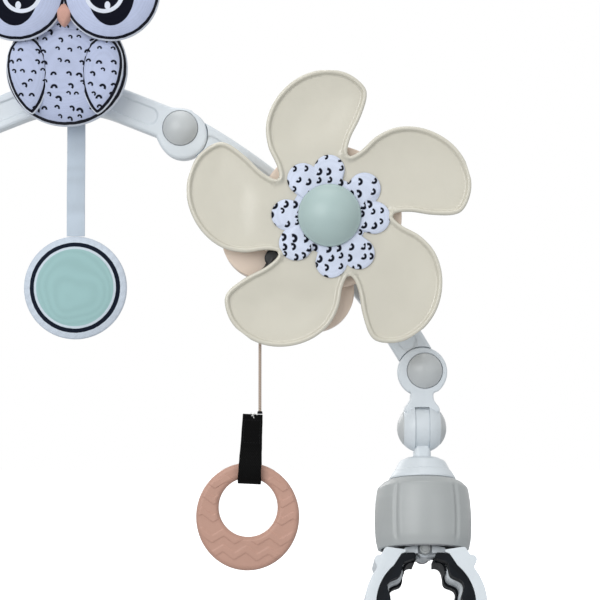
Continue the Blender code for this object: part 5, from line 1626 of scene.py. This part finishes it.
def make_bird():
    """Body, head, and on each side an eye's lobe and a wing, with a beak between the eyes."""
    stuffed("bird_body", (0, BODY_Y, 0.0128), BODY_HALF, egg(0.033, 0.0322, 0.02), CLOTH_SMALL,
            0.8, puckers=30)
    stuffed("bird_head", (0, HEAD_Y, 0.0556), 0.0115, egg(0.038, 0.0285, 0.12), CLOTH_SMALL,
            0.8, puckers=34, seed=2)
    for name, side in SIDES:
        stuffed(f"{name}_eye_lobe", (side * EYE_X, LOBE_Y, EYE_Z - APEX_Z), 0.0075,
                egg(0.0262, 0.0262), eye_paint(name, side), 0.7, puckers=28, seed=3 + side)
        stuffed(f"{name}_wing", (side * 0.0196, WING_Y, 0.0072), 0.005, leaf(0.0121, 0.0213),
                CLOTH_SMALL, 0.7, lean=side * math.radians(6), puckers=22, seed=5 + side)
    stuffed("beak", (0, LOBE_Y, 0.0388), 0.004, egg(0.0045, 0.0065, -0.4), BEAK_CLOTH, 0.9,
            steps=72, puckers=9)


def make_tie():
    """The band that holds the bird on the bridge, following the bridge's bend."""
    wall, half, corner = 0.0013, 0.01, 0.0014
    stations = [-half, -half + 0.0003, *np.linspace(-0.0088, 0.0088, 15), half - 0.0003, half]
    blocks = []
    for offset, soft in ((wall, 1), (0.0, 0)):
        high, deep = BRIDGE_HALF + GAP + offset, HALF + GAP + offset
        section = rounded_oblong(deep, high, corner + offset, 6)
        block = []
        for across in stations:
            ease = 0.00035 * (1 - smooth_step(half - abs(across), 0.0, 0.0006))
            puff = 0.00018 * math.sin(across * 1400)
            scale = 1 + soft * (puff - ease) / BRIDGE_HALF
            row = []
            for out, up in section:
                x, z = off_bridge(across, up * scale)
                row.append(arch(x, out * scale, z))
            block.append(row)
        blocks.append(block)
    rows = blocks[0] + blocks[1][::-1]
    tie = grid_piece("bird_tie_band", rows, around=True, closed=True, sharp=50)
    dress(tie, "bridge", "white_cloth", PLAIN_CLOTH, "bird_tie")


def eye_paint(name, side):
    """A big printed eye: a dark patch, a pale ring, a dark pupil and its two lights."""
    spots = (
        (0.0005, -0.0008, 0.0126, 0.018, INK), (-0.0032, -0.0016, 0.0107, 0.0107, PALE),
        (-0.0032, -0.0016, 0.0086, 0.0086, INK), (-0.0056, 0.0022, 0.0026, 0.0022, PALE),
        (-0.0014, -0.0082, 0.0015, 0.0021, PALE),
    )
    prints = [((side * (EYE_X + across), 0, EYE_Z + up), (wide, high), shown)
              for across, up, wide, high, shown in spots]
    return cloth(f"eye_cloth_{name}", LAVENDER, prints=prints, rim=OUTLINE)


DISC_PLACE = (0.003, APEX_Z - 0.1057)
DISC_SPOT = (DISC_PLACE[0], 0, DISC_PLACE[1])
DISC_RADIUS = 0.0283
RIBBON_ROWS = 26
DISC_CLOTH = cloth("disc_cloth", srgb(212, 222, 234), prints=[
    (DISC_SPOT, (radius, radius), colour)
    for radius, colour in ((0.0248, srgb(16, 24, 40)), (0.0225, srgb(208, 220, 230)),
                           (0.0212, srgb(160, 196, 196)))
])


def make_disc():
    """The printed disc and the ribbon that it hangs on."""
    disc = pillow("disc_stuffed", arch(DISC_PLACE[0], 0, DISC_PLACE[1]), 0.0055,
                  egg(DISC_RADIUS, DISC_RADIUS), puckers=36, steps=216, seed=9)
    dress(disc, "disc", "mint_cloth", DISC_CLOTH, "hanging_disc")
    low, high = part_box("disc_ribbon")
    rows = []
    for k in range(RIBBON_ROWS + 1):
        share = k / RIBBON_ROWS
        z = high[2] + (low[2] - high[2]) * share
        wave = 0.0006 * math.sin(share * 7.0) * math.sin(math.pi * share)
        rows.append([arch(DISC_PLACE[0] + x, y + wave, z)
                     for x, y in rounded_oblong(0.005, 0.0005, 0.0003, 2)])
    ribbon = grid_piece("disc_ribbon_shown", rows, around=True, caps=True, sharp=60)
    dress(ribbon, "disc", "mint_cloth", RIBBON, "disc_ribbon")


def paint_hidden():
    """Working parts inside the casing keep their CAD shapes."""
    for node, paint in (("cord_spool", CASING), ("recoil_spring", STEEL), ("spinner_axle", STEEL)):
        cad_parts[node].data.materials.clear()
        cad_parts[node].data.materials.append(paint)


make_camera()
make_cord_set()
make_stage()
make_arch()
for side_name, side_sign in SIDES:
    make_clamp(side_name, side_sign)
make_casing()
make_petals()
make_fabric_flower()
make_hub()
make_guide()
make_bird()
make_tie()
make_disc()
paint_hidden()
